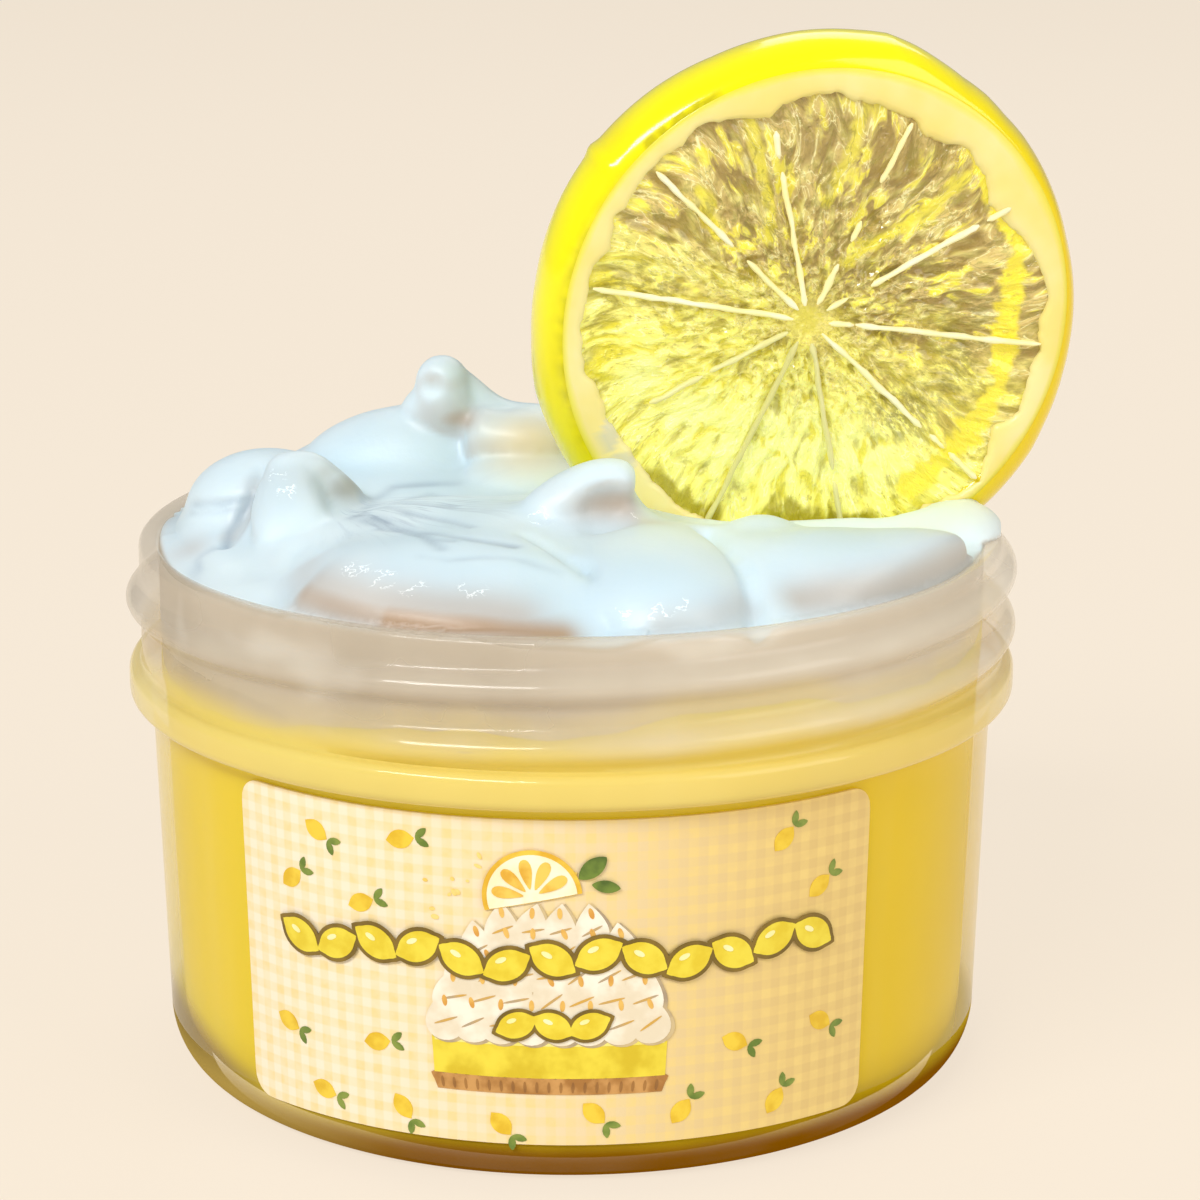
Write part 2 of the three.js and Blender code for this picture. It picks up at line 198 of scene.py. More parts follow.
def arcPoints(centre, reach, start, end, steps):
    angles = [math.radians(start + (end - start) * k / steps) for k in range(steps + 1)]
    return [(centre[0] + reach[0] * math.cos(a), centre[1] + reach[1] * math.sin(a)) for a in angles]


# materials

def tint(code):
    channels = [int(code[k:k + 2], 16) / 255 for k in (0, 2, 4)]
    linear = [c / 12.92 if c <= 0.04045 else ((c + 0.055) / 1.055) ** 2.4 for c in channels]
    return (*linear, 1)


def newMaterial(name, sockets):
    mat = bpy.data.materials.new(name)
    mat.use_nodes = True
    for socket, value in sockets.items():
        mat.node_tree.nodes["Principled BSDF"].inputs[socket].default_value = value
    return mat


# light sinks a little way in, as in wax
def waxy(weight, radius, scale=0.003):
    return {"Subsurface Weight": weight, "Subsurface Radius": radius, "Subsurface Scale": scale}


def plug(mat, source, *sockets):
    for socket in sockets:
        mat.node_tree.links.new(source, mat.node_tree.nodes["Principled BSDF"].inputs[socket])


# an input is another node's output, a number, a vector or a colour's code
def node(mat, kind, inputs, **settings):
    made = mat.node_tree.nodes.new("ShaderNode" + kind)
    for key, value in settings.items():
        setattr(made, key, value)
    for key, value in inputs.items():
        if isinstance(value, bpy.types.NodeSocket):
            mat.node_tree.links.new(value, made.inputs[key])
        else:
            made.inputs[key].default_value = tint(value) if isinstance(value, str) else value
    return made


def maths(mat, operation, first, second=0.0, clamp=False):
    return node(mat, "Math", {0: first, 1: second}, operation=operation, use_clamp=clamp).outputs[0]


def plus(mat, first, second):
    return maths(mat, "ADD", first, second)


def minus(mat, first, second):
    return maths(mat, "SUBTRACT", first, second)


def times(mat, first, second):
    return maths(mat, "MULTIPLY", first, second)


def ranged(mat, value, low, high, toLow=0.0, toHigh=1.0):
    inputs = {"Value": value, "From Min": low, "From Max": high, "To Min": toLow, "To Max": toHigh}
    return node(mat, "MapRange", inputs, interpolation_type="SMOOTHSTEP").outputs[0]


# thin lines where a value passes a level
def contour(mat, value, level, core, edge, strength):
    return ranged(mat, maths(mat, "ABSOLUTE", minus(mat, value, level)), core, edge, strength, 0.0)


def painted(mat, name):
    return node(mat, "Attribute", {}, attribute_name=name).outputs["Fac"]


def mixed(mat, factor, first, second):
    return node(mat, "Mix", {0: factor, 6: first, 7: second}, data_type="RGBA").outputs[2]


# lays colours over a tone, each by a factor or by a painted layer's name
def layered(mat, tone, *layers):
    for factor, colour in layers:
        tone = mixed(mat, painted(mat, factor) if isinstance(factor, str) else factor, tone, colour)
    return tone


def noisy(mat, where, scale, detail=2, roughness=0.5, distortion=0.0, shift=(0, 0, 0)):
    scale = scale if isinstance(scale, tuple) else (scale, scale, scale)
    placed = node(mat, "Mapping", {"Vector": where, "Location": shift, "Scale": scale}).outputs[0]
    inputs = {"Vector": placed, "Scale": 1.0, "Detail": detail, "Roughness": roughness}
    return node(mat, "TexNoise", {**inputs, "Distortion": distortion}).outputs[0]


def objectPlace(mat):
    return node(mat, "TexCoord", {}).outputs["Object"]


def addBump(mat, height, distance, strength):
    made = node(mat, "Bump", {"Height": height, "Distance": distance * mm, "Strength": strength})
    plug(mat, made.outputs[0], "Normal")


# the place, then in millimetres how far right it is, how far from the jar's axis and how high
def jarPlace(mat):
    where = objectPlace(mat)
    parts = node(mat, "SeparateXYZ", {0: where}).outputs
    flat = node(mat, "CombineXYZ", {0: parts[0], 1: parts[1]}).outputs[0]
    reach = node(mat, "VectorMath", {0: flat}, operation="LENGTH").outputs["Value"]
    return where, *[times(mat, value, 1 / mm) for value in (parts[0], reach, parts[2])]


# the jar

jarSize = {
    "height": 53.2, "lipRadius": 43.0, "bore": 41.0, "lipRound": 0.9,
    "collarRadius": 44.3, "collarBottom": 37.4, "collarTop": 40.9, "collarRound": 1.0,
    "bodyTop": 42.1, "bodyBase": 41.2, "wall": 1.5, "wallRings": (12, 20, 28, 34, 36.6),
    "boreRings": (50, 47, 44, 41.9, 40.4, 38.8, 37.4, 30, 20, 12),
    "cornerWidth": 3.7, "cornerHeight": 5.1, "floor": 1.8, "innerWidth": 3.3, "innerHeight": 3.9,
    "groove": 33.0, "grooveWidth": 2.4, "grooveDepth": 0.6, "grooveSlope": 0.5,
    "neckStep": 0.28, "steps": 288, "footHeight": 5.4, "footRadius": 36,
}
threadSize = {
    "pitch": 5.6, "turns": 1.6, "start": -128.0, "height": 42.5, "halfWidth": 2.2,
    "rise": 1.4, "bluntness": 2.0, "runOut": 20.0,
}


def wallRadius(height):
    share = (height - jarSize["cornerHeight"]) / (jarSize["collarBottom"] - jarSize["cornerHeight"])
    return jarSize["bodyBase"] + (jarSize["bodyTop"] - jarSize["bodyBase"]) * share


def boreRadius(height):
    top = jarSize["collarTop"] + 1
    share = min(max((height - jarSize["collarBottom"]) / (top - jarSize["collarBottom"]), 0), 1)
    low = wallRadius(min(height, jarSize["collarBottom"])) - jarSize["wall"]
    return low + (jarSize["bore"] - low) * share


def jarProfile():
    j = jarSize
    grooveIn, grooveOut = j["groove"] - j["grooveWidth"] / 2, j["groove"] + j["grooveWidth"] / 2
    slope, depth, foot = j["grooveSlope"], j["grooveDepth"], j["bodyBase"] - j["cornerWidth"]
    profile = [(0, 0), (grooveIn, 0), (grooveIn + slope, depth), (grooveOut - slope, depth), (grooveOut, 0)]
    profile += arcPoints((foot, j["cornerHeight"]), (j["cornerWidth"], j["cornerHeight"]), -90, 0, 14)
    profile += [(wallRadius(z), z) for z in j["wallRings"]] + [(wallRadius(37.1) + 0.15, 37.1)]
    collar, r = j["collarRadius"] - j["collarRound"], j["collarRound"]
    profile += arcPoints((collar, j["collarBottom"] + r), (r, r), -90, 0, 6)
    profile += arcPoints((collar, j["collarTop"] - r), (r, r), 0, 90, 6)
    neckFoot, neckHead = j["collarTop"] + 0.5, j["height"] - j["lipRound"]
    rings = round((neckHead - neckFoot) / j["neckStep"])
    profile += [(j["lipRadius"] + 0.15, j["collarTop"] + 0.15)]
    profile += [(j["lipRadius"], neckFoot + (neckHead - neckFoot) * k / rings) for k in range(rings)]
    r = j["lipRound"]
    profile += arcPoints((j["lipRadius"] - r, neckHead), (r, r), 0, 90, 6)
    profile += arcPoints((j["bore"] + r, neckHead), (r, r), 90, 180, 6)
    profile += [(boreRadius(z), z) for z in j["boreRings"]]
    inner = (j["bodyBase"] - j["wall"] - j["innerWidth"], j["floor"] + j["innerHeight"])
    profile += arcPoints(inner, (j["innerWidth"], j["innerHeight"]), 0, -90, 10)
    return profile + [(0, j["floor"])]


# the thread is swelled out of the neck, so that it flows into the wall
def raiseThread(obj):
    t = threadSize
    points = readPoints(obj)
    reach, angles = polar(points)
    outside = (reach > jarSize["lipRadius"] - 0.02) & (points[:, 2] > jarSize["collarTop"] + 0.3)
    swell = np.zeros(len(points))
    for lap in range(2):
        turned = (angles - t["start"]) % 360 + 360 * lap
        toEnd = np.minimum(turned, t["turns"] * 360 - turned)
        off = (points[:, 2] - t["height"] - t["pitch"] * turned / 360) / t["halfWidth"]
        section = np.clip(1 - off ** 2, 0, 1) ** t["bluntness"]
        swell = np.maximum(swell, t["rise"] * section * eased(toEnd, 0, t["runOut"]) * (toEnd > 0))
    points[:, :2] *= np.where(outside, 1 + swell / np.maximum(reach, 1), 1)[:, None]
    writePoints(obj, points)


# milky see-through plastic; the slime behind it tints the wall, and the foot is amber where it is thick and
# where painted shade falls near the floor
def jarPlastic(name, gloss, roughness):
    mat = newMaterial(name, {"Roughness": roughness, "IOR": 1.5, "Coat Weight": gloss,
                             "Coat Roughness": 0.05, "Specular IOR Level": gloss / 3})
    where, x, reach, height = jarPlace(mat)
    cloud = noisy(mat, where, (60, 60, 30), 3)
    # painted shade: above the seam the milky neck shows the white slime behind it in tan, darker on the left
    # side
    shadedMilk = mixed(mat, ranged(mat, cloud, 0.35, 0.7), "c3b7a1", "d6cbb6")
    shadedMilk = mixed(mat, ranged(mat, x, -12, 30), shadedMilk, "ece3d0")
    wall = mixed(mat, ranged(mat, x, -20, 35), "f8e038", "f3d31c")
    collar = mixed(mat, 0.45, wall, "f3e6b8")
    seam = ranged(mat, plus(mat, height, times(mat, cloud, 3)), 43.2, 46.2)
    # the foot's amber, partly thick plastic and partly painted shade, reaches higher along the left edge
    raised = minus(mat, height, ranged(mat, x, -28, -40.5, 0.0, 4.5))
    foot = ranged(mat, plus(mat, raised, times(mat, cloud, 1.5)), 3.4, 7.2, 0.97, 0.0)
    amberShade = mixed(mat, ranged(mat, x, -34, -12), "b39a52", "7e4c00")
    tone = layered(mat, wall, (ranged(mat, height, 36.6, 37.6), collar), (seam, shadedMilk), (foot, amberShade))
    plug(mat, tone, "Base Color")
    alpha = ranged(mat, height, 41.5, 45.5, 0.56, 0.40)
    alpha = plus(mat, alpha, ranged(mat, reach, 43.0, 44.4, 0.0, 0.12))
    alpha = plus(mat, alpha, ranged(mat, height, 2.0, 6.0, 0.42, 0.0))
    plug(mat, maths(mat, "ADD", alpha, ranged(mat, cloud, 0.3, 0.75, -0.03, 0.04), clamp=True), "Alpha")
    addBump(mat, plus(mat, noisy(mat, where, 300), noisy(mat, where, (40, 40, 400))), 0.03, 0.35)
    return mat


jarShell = spun("jar_shell", jarProfile(), jarSize["steps"])
raiseThread(jarShell)
shadeSmooth(jarShell, 50)
finishPiece(jarShell, jarPlastic("milkyPlastic", 0.6, 0.25), "jar")
# the foot is dull where it rests
jarShell.data.materials.append(jarPlastic("dullFoot", 0.0, 0.6))
for face in jarShell.data.polygons:
    spot = face.center / mm
    if spot.z < jarSize["footHeight"] and spot.xy.length > jarSize["footRadius"] and face.normal.z < 0.5:
        face.material_index = 1
print("jar made")


# yellow slime, filled right into the wall

seamSize = {
    "mean": 43.7, "rise": 1.1, "edge": 0.10, "rim": 0.5,
    "ripples": [(3, 0.45, 40.0), (7, 0.2, 110.0)], "swells": [(-68.0, 14.0, 1.9), (-150.0, 22.0, -1.6)],
    "fineScale": 4.0, "fineSwell": 0.56,
    "wallRings": (10, 15, 20, 25, 30, 34, 37.4, 39, 40.5, 41.9), "topRings": (38, 34, 28, 20, 10, 0),
}


# height of the seam between the slimes, at points of the wall
def seamHeights(points):
    s = seamSize
    reach, angles = polar(points)
    share = reach / jarSize["bore"]
    heights = s["mean"] + s["rise"] * points[:, 0] / jarSize["bore"]
    for count, swell, phase in s["ripples"]:
        heights += swell * share ** 2 * np.sin(np.radians(count * angles + phase))
    nearWall = eased(share, 0.8, 1)
    for middle, width, rise in s["swells"]:
        heights += rise * sector(angles, middle, width) * nearWall
    fine = noiseAt(Vector((x, y, 3.0)) / s["fineScale"] for x, y in points[:, :2])
    return heights + s["fineSwell"] * fine * nearWall


def yellowProfile():
    j, edge, top, rim = jarSize, seamSize["edge"], seamSize["mean"], seamSize["rim"]
    corner = (j["bodyBase"] - j["wall"] - j["innerWidth"], j["floor"] + j["innerHeight"])
    reach = (j["innerWidth"] + edge, j["innerHeight"] + edge)
    profile = [(0, j["floor"] - edge)] + arcPoints(corner, reach, -90, 0, 10)
    profile += [(boreRadius(z) + edge, z) for z in seamSize["wallRings"]]
    profile += arcPoints((j["bore"] + edge - rim, top - rim), (rim, rim), 0, 90, 4)
    return profile + [(r, top) for r in seamSize["topRings"]]


def liftSeam(obj):
    points = readPoints(obj)
    lift = seamHeights(points) - seamSize["mean"]
    points[:, 2] += lift * eased(points[:, 2], 38.0, seamSize["mean"] - seamSize["rim"])
    writePoints(obj, points)


def yellowGloss():
    mat = newMaterial("yellowSlime", {"Roughness": 0.6, "IOR": 1.45, "Specular IOR Level": 0.05,
                                      **waxy(0.3, (1.0, 0.85, 0.2))})
    where, x, _, height = jarPlace(mat)
    cloud = noisy(mat, where, (25, 25, 12))
    streak = noisy(mat, where, (120, 120, 9), 3)
    tone = mixed(mat, ranged(mat, cloud, 0.35, 0.68), "f2d71e", "f6e040")
    # a painted sheen: paler towards the left and right edges
    paintedEdgeSheen = ranged(mat, maths(mat, "ABSOLUTE", x), 30, 41, 0.0, 0.35)
    tone = layered(mat, tone, (ranged(mat, streak, 0.5, 0.72, 0.0, 0.55), "f8e68a"), (paintedEdgeSheen, "f6e59a"),
                   # painted shade: darker towards the bottom
                   (ranged(mat, height, 2.0, 8.5, 1.0, 0.0), "a86c08"))
    plug(mat, tone, "Base Color")
    addBump(mat, cloud, 0.3, 0.3)
    return mat


yellowSlime = spun("yellow_slime_body", yellowProfile(), 240)
liftSeam(yellowSlime)
shadeSmooth(yellowSlime, 60)
finishPiece(yellowSlime, yellowGloss(), "yellow_slime")
print("yellow slime made")


# the lemon slice is shaped in its own plane: X right, Y up, Z out of its front

sliceSize = {
    "centre": (24.0, -6.0, 74.4), "turn": 12.4, "lean": 7.9,
    "thickness": 9.0, "face": 25.1, "rind": 27.4, "flesh": 23.3, "sink": 0.6,
    "hub": (-1.0, 0.5), "sectors": 360, "nub": (142.5, 0.35, 1.6),
}
# how far the rind stands out of a true circle, by the angle round the slice
rindOutline = {
    -165: 0.4, -154: 0.3, -100: 0.6, -60: 1.1, -44: 1.1, -32: 0.95, -26: 0.6, -20: 0.4, -14: 0.15,
    -6: -0.05, 4: -0.25, 16: -0.55, 28: -0.45, 40: -0.35, 46: -0.4, 52: -0.2, 58: -0.2, 64: 0.1, 70: 0.5,
    76: 0.8, 82: 0.6, 88: 0.5, 94: 0.4, 104: 0.15, 112: 0.0, 124: 0.1, 136: 0.12, 154: 0.1, 172: -0.1,
    184: 0.0,
}
# radius of the flesh, by the angle round the slice
fleshOutline = {
    -177: 23.5, -171: 23.3, -167: 22.3, -157: 22.4, -152: 21.9, -140: 22.0, -126: 22.2, -117: 22.2,
    -105: 23.0, -90: 23.8, -63: 24.0, -58: 22.9, -51: 24.1, -44: 24.6, -37: 23.0, -31: 22.1, -25: 23.6,
    -20: 23.3, -14: 22.8, -8: 23.3, -2: 22.7, 4: 23.5, 9: 23.1, 14: 22.6, 20: 22.1, 25: 21.1, 29: 20.6,
    34: 20.3, 39: 20.8, 44: 21.4, 50: 22.1, 54: 21.9, 58: 21.0, 63: 21.0, 66: 21.5, 70: 21.9, 78: 22.2,
    84: 22.2, 88: 22.8, 93: 22.8, 98: 22.6, 102: 22.4, 106: 21.5, 112: 22.2, 120: 23.7, 126: 23.5, 130: 23.1,
    135: 23.5, 140: 23.7, 144: 23.1, 148: 23.3, 151: 23.7, 158: 22.4, 163: 23.5, 167: 23.3, 177: 23.4,
}


def standSlice(obj):
    s = sliceSize
    place = Matrix.Translation(Vector(s["centre"]) * mm)
    place = place @ Matrix.Rotation(math.radians(s["turn"]), 4, "Z")
    obj.data.transform(place @ Matrix.Rotation(math.radians(90 + s["lean"]), 4, "X"))
    obj.data.update()


def finishSlicePart(obj, material, angle=60):
    standSlice(obj)
    shadeSmooth(obj, angle)
    finishPiece(obj, material, "lemon_slice")


def roundTable(angles, table):
    return np.interp(angles, list(table), list(table.values()), period=360)


def ringNoise(angles, across, level):
    turned = np.radians(angles)
    return noiseAt((x, y, level) for x, y in zip(across * np.cos(turned), across * np.sin(turned)))


# the flesh's uneven edge, by the angle round the slice
def fleshEdge(angles):
    edge = roundTable(angles, fleshOutline)
    return edge + 0.35 * ringNoise(angles, 14.0, 1.0) + 0.2 * ringNoise(angles, 40.0, 3.0)


def rindSwell(angles):
    at, rise, width = sliceSize["nub"]
    return roundTable(angles, rindOutline) + rise * sector(angles, at, width, 2)


# a turned ring whose inside follows the flesh's edge, as far out as hold
def sliceRing(name, section, hold):
    obj = spun(name, section, sliceSize["sectors"])
    points = readPoints(obj)
    reach, angles = polar(points)
    held = np.clip((hold - reach) / (hold - sliceSize["flesh"]), 0, 1)
    moved = reach + (fleshEdge(angles) - sliceSize["flesh"]) * held
    moved += rindSwell(angles) * eased(reach, sliceSize["face"], sliceSize["rind"])
    points[:, :2] *= (moved / reach)[:, None]
    writePoints(obj, points)
    return obj


def rindSection():
    s = sliceSize
    half = s["thickness"] / 2
    section = [(24.2, -0.6), (24.7, -0.18)]
    section += arcPoints((s["face"], -half), (s["rind"] - s["face"], half - 0.1), 90, -90, 26)
    return section + [(24.7, 0.18 - s["thickness"]), (24.2, 0.6 - s["thickness"]), section[0]]


def pithSection():
    flesh = sliceSize["flesh"]
    front = [(flesh, -2.0), (flesh, -0.5), (flesh + 0.12, -0.16), (flesh + 0.4, 0.0)]
    front += [(24.1, 0.03), (24.8, 0.02), (25.25, -0.04), (25.55, -0.28)]
    return front + [(r, -sliceSize["thickness"] - z) for r, z in reversed(front)] + [front[0]]


fleshSize = {
    "frontRings": 96, "backRings": 40, "relief": 0.5, "fine": 0.2, "broad": 0.35, "dome": 0.3,
    "segmentHalf": 18, "spread": 9, "lap": 0.12,
}
# ragged yellow streaks in the pulp, and where it is bright, dusky or olive, in the slice's plane
fleshMarks = {
    "crescent": [[(15.2, 17.6), (16.9, 13.6), (19.8, 7.7), (19.8, 4.0), (19.5, 0.7), (19.3, -3.1),
                  (19.1, -6.3), (17.7, -9.6), (16.2, -12.9), (12.8, -15.6), (10.5, -17.1)]],
    "veins": [[(-7.7, 20.9), (-6.6, 16.7), (-5.2, 9.0)], [(3.6, 21.4), (2.3, 16.7), (0.0, 12.1)],
              [(13.8, 14.1), (9.6, 9.8)], [(10.7, 10.7), (5.5, 8.2), (2.5, 6.2)],
              [(-12.5, 14.0), (-10.3, 9.5)]],
    "foot": [[(-15.6, -14.9), (-12.9, -17.4), (-10.1, -19.4)], [(-3.1, -19.0), (1.3, -20.6), (5.9, -21.0)]],
    "bright": [((-4.7, -11.9, 0), (8.5, 4.6, 9)), ((3.9, -13.6, 0), (6.0, 3.6, 9)),
               ((-12.0, -8.6, 0), (3.4, 2.6, 9)), ((-17.4, -4.4, 0), (1.8, 2.4, 9))],
    "dusk": [((-1.5, 19.0, 0), (9.0, 8.0, 9))],
    "olive": [((-20.5, 5.2, 0), (2.0, 1.6, 9)), ((-17.0, 4.6, 0), (3.0, 2.0, 9)),
              ((15.0, -3.0, 0), (3.0, 6.0, 9)), ((9.5, -9.5, 0), (4.4, 3.4, 9))],
}


# ridges of pulp that run out from the hub: coarse, fine and broad relief, and how the ridges bend
def pulp(reach, angles, level):
    share = np.clip(reach / sliceSize["flesh"], 0, 1)
    bent = angles + 4 * ringNoise(angles, 2.5, level) + 3 * np.sin(reach * 0.32 + level) * share ** 2
    turned, spread = np.radians(bent), 1.15 * (1 - np.exp(-reach / fleshSize["spread"]))
    x, y = spread * np.cos(turned), spread * np.sin(turned)
    ridge, fine, broad = [noiseAt(zip(scale * x, scale * y, reach / length + shift + level))
                          for scale, length, shift in ((9, 6.0, 0), (24, 2.4, 0), (4.5, 9.0, 7))]
    return 1 - 2 * np.abs(ridge), fine, broad, turned


def fleshBody():
    s, f = sliceSize, fleshSize
    edge, back = s["flesh"] + f["lap"], -s["thickness"]
    front = [(edge * k / f["frontRings"], 0.0) for k in range(f["frontRings"] + 1)]
    behind = [(edge * k / f["backRings"], back) for k in range(f["backRings"], -1, -1)]
    obj = spun("lemon_flesh", front + behind, s["sectors"])
    points = readPoints(obj)
    reach, angles = polar(points)
    share = reach / edge
    ridge, fine, broad, bent = pulp(reach, angles, 2.0)
    ridgeBack, fineBack = pulp(reach, angles, 11.0)[:2]
    nearest = np.min([np.abs(away(angles, middle)) for middle in membranes], axis=0)
    dome = f["dome"] * np.sin(np.clip(nearest / f["segmentHalf"], 0, 1) * math.pi / 2)
    fade = eased(share, 0.05, 0.3) * (1 - 0.6 * eased(share, 0.93, 1))
    frontRelief = (f["relief"] * (ridge - 0.6) + f["fine"] * fine + f["broad"] * broad + dome) * fade
    backRelief = (f["relief"] * (ridgeBack - 0.6) + f["fine"] * fineBack) * fade
    points[:, 2] = np.where(points[:, 2] > back / 2, frontRelief - s["sink"], back + s["sink"] - backRelief)
    turned, rim = np.radians(angles), fleshEdge(angles) + f["lap"]
    points[:, 0] = s["hub"][0] * (1 - share) + rim * np.cos(turned) * share
    points[:, 1] = s["hub"][1] * (1 - share) + rim * np.sin(turned) * share
    writePoints(obj, points)
    spread = 10 * (1 - np.exp(-reach / f["spread"]))
    paint(obj, "flow", np.stack([np.cos(bent) * spread, np.sin(bent) * spread, reach / 5], axis=1))
    paint(obj, "calm", 0.6 * (1 - eased(reach, 1.0, 4.0)))
    paint(obj, "ridge", np.clip(ridge, 0, 1))
    paintFleshMarks(obj, points, fine, broad)
    return obj


def paintFleshMarks(obj, points, fine, broad):
    plan, flatPoints = points[:, :2], points * np.array([1, 1, 0])
    toHub = np.linalg.norm(plan - np.array(sliceSize["hub"]), axis=1)
    ragged = 0.9 * fine + 0.7 * broad
    crescent, veins, foot = [np.min([distanceToPath(plan, path) for path in fleshMarks[name]], axis=0)
                             for name in ("crescent", "veins", "foot")]
    bright, dusk, olive = [spotsAt(flatPoints, fleshMarks[name]) for name in ("bright", "dusk", "olive")]
    low = -(0.42 * points[:, 0] + 0.9 * points[:, 1]) + 7 * broad + 3 * fine
    paint(obj, "low", eased(low, -9, 10))
    paint(obj, "dusk", 0.28 * dusk)
    paint(obj, "bright", np.clip(bright * 1.25 + 0.5 * fine, 0, 1))
    paint(obj, "olive", np.clip(olive + 0.4 * fine, 0, 1) * eased(olive, 0.1, 0.4))
    paint(obj, "vein", 1 - eased(veins + 0.8 * ragged, 0.25, 0.9))
    paint(obj, "hub", 1 - eased(toHub + fine, 0.9, 1.7))
    paint(obj, "crescent", 1 - eased(crescent + ragged, 0.9, 1.4))
    paint(obj, "foot", 1 - eased(foot + ragged, 0.8, 1.7))


def fleshGloss():
    mat = newMaterial("clearPulp", {"Roughness": 0.14, "IOR": 1.45, "Coat Weight": 1.0,
                                    "Coat Roughness": 0.04, "Emission Strength": 0.25,
                                    **waxy(0.3, (1.0, 0.9, 0.3))})
    flow = node(mat, "Attribute", {}, attribute_name="flow").outputs["Vector"]
    streaks = noisy(mat, flow, (1.5, 1.5, 0.8), 4, 0.5, 0.7)
    veins = noisy(mat, flow, (0.95, 0.95, 0.5), 4, 0.56, 0.5, (3, 1, 0))
    specks = noisy(mat, flow, (4.0, 4.0, 3.4), 4, 0.6, 0.0, (7, 2, 0))
    low = painted(mat, "low")
    tan = mixed(mat, ranged(mat, streaks, 0.38, 0.6), "9c823a", "d6bd70")
    vein = times(mat, ranged(mat, veins, 0.5, 0.59), ranged(mat, streaks, 0.44, 0.56))
    vein = maths(mat, "MAXIMUM", vein, times(mat, painted(mat, "vein"), 0.85))
    upper = layered(mat, tan, (ranged(mat, specks, 0.54, 0.68, 0.0, 0.6), "80702c"), (vein, "f4e844"),
                    ("dusk", "94804a"))
    lemon = mixed(mat, ranged(mat, streaks, 0.35, 0.55), "dfd230", "fff97c")
    lemon = mixed(mat, ranged(mat, specks, 0.55, 0.67, 0.0, 0.65), lemon, "aca126")
    pale = mixed(mat, ranged(mat, streaks, 0.3, 0.46), "ebe048", "ffff98")
    crease = times(mat, contour(mat, veins, 0.45, 0.0, 0.03, 0.5), minus(mat, 1.0, times(mat, low, 0.7)))
    # painted highlights: thin bright lines along the pulp streaks
    paintedGlow = contour(mat, streaks, 0.57, 0.0, 0.02, 0.6)
    # painted shade darkening the valleys of the pulp relief
    grooveShade = ranged(mat, painted(mat, "ridge"), 0.4, 0.05, 0.0, 0.5)
    groove = times(mat, grooveShade, ranged(mat, streaks, 0.6, 0.4))
    olive = times(mat, painted(mat, "olive"), ranged(mat, specks, 0.4, 0.56, 0.0, 0.7))
    bar = times(mat, painted(mat, "crescent"), ranged(mat, specks, 0.68, 0.54, 0.65, 1.0))
    foot = times(mat, painted(mat, "foot"), ranged(mat, veins, 0.36, 0.5))
    tone = layered(mat, upper, (low, lemon), ("bright", pale), (crease, "8f832c"), (paintedGlow, "fffcbc"),
                   (groove, "9a8c30"), (olive, "8c7f2c"), (bar, "f3e43a"), (foot, "b0a31c"),
                   ("calm", "ecdf6e"), ("hub", "ddd04e"))
    # the flesh also glows by emission in its own colour, painted light
    plug(mat, tone, "Base Color", "Emission Color")
    crinkle = plus(mat, streaks, times(mat, specks, 0.5))
    addBump(mat, times(mat, crinkle, minus(mat, 1.0, painted(mat, "calm"))), 1.8, 0.75)
    return mat


# each membrane: its angle, and the stretches of it that show, from the hub out
membranes = {
    169.2: [(1.6, 21.9)], 135.7: [(1.6, 9.0), (11.1, 22.0)], 103.0: [(1.6, 15.3), (16.7, 19.4)],
    64.7: [(1.8, 6.2), (8.7, 10.9), (15.0, 21.4)], 28.4: [(2.0, 4.4), (6.9, 18.9), (19.8, 22.6)],
    -8.2: [(2.1, 4.6), (4.8, 24.2)], -43.3: [(2.0, 16.8), (18.1, 20.2), (21.0, 25.2)],
    -78.0: [(2.4, 15.9), (17.2, 22.6)], -114.5: [(2.3, 22.8)], -153.6: [(2.3, 10.8), (11.6, 17.4)],
}
membraneSize = {"width": 0.55, "height": 0.7, "cuts": 24, "wobble": 0.16, "lift": 0.42}
dullMembranes = {-78.0: 0.8, -114.5: 1.0, -153.6: 0.7}


def membraneStrip(angle, start, end):
    m, seed, long = membraneSize, angle + start, end - start
    obj = newPrimitive("strip", bpy.ops.mesh.primitive_cylinder_add, vertices=12, radius=0.5 * mm,
                       depth=long * mm, rotation=(0, math.pi / 2, 0))
    bpy.ops.object.transform_apply(rotation=True)
    editOn(obj)
    for k in range(1, m["cuts"]):
        bpy.ops.mesh.select_all(action="SELECT")
        cut = (k * (long / m["cuts"]) - long / 2) * mm
        bpy.ops.mesh.bisect(plane_co=(cut, 0, 0), plane_no=(1, 0, 0))
    editOff()
    points = readPoints(obj)
    along = points[:, 0] + (start + end) / 2
    thin = 0.35 + 0.65 * eased(np.minimum(along - start, end - along), 0, 0.5)
    swell = noiseAt((a * 0.9, seed, 0) for a in along)
    drift = noiseAt((a * 0.35, seed, 9) for a in along)
    across = points[:, 1] * m["width"] * thin * (1 + 0.5 * swell) + m["wobble"] * drift
    turned, hub = math.radians(angle), sliceSize["hub"]
    points[:, 0] = hub[0] + along * math.cos(turned) - across * math.sin(turned)
    points[:, 1] = hub[1] + along * math.sin(turned) + across * math.cos(turned)
    points[:, 2] = points[:, 2] * m["height"] * thin - sliceSize["sink"] + m["lift"]
    writePoints(obj, points)
    paint(obj, "dull", np.full(len(points), dullMembranes.get(angle, 0.0)))
    return obj


# the strips lie on the front, and a mirrored copy of them on the back
def membraneLines():
    strips = []
    for angle, stretches in membranes.items():
        strips += [membraneStrip(angle, start, end) for start, end in stretches]
    front = joined("lemon_membranes", strips)
    pickOnly(front)
    bpy.ops.object.duplicate()
    behind = bpy.context.object
    points = readPoints(behind)
    points[:, 2] = -sliceSize["thickness"] - points[:, 2]
    writePoints(behind, points)
    editOn(behind)
    bpy.ops.mesh.flip_normals()
    editOff()
    return joined("lemon_membranes", [front, behind])


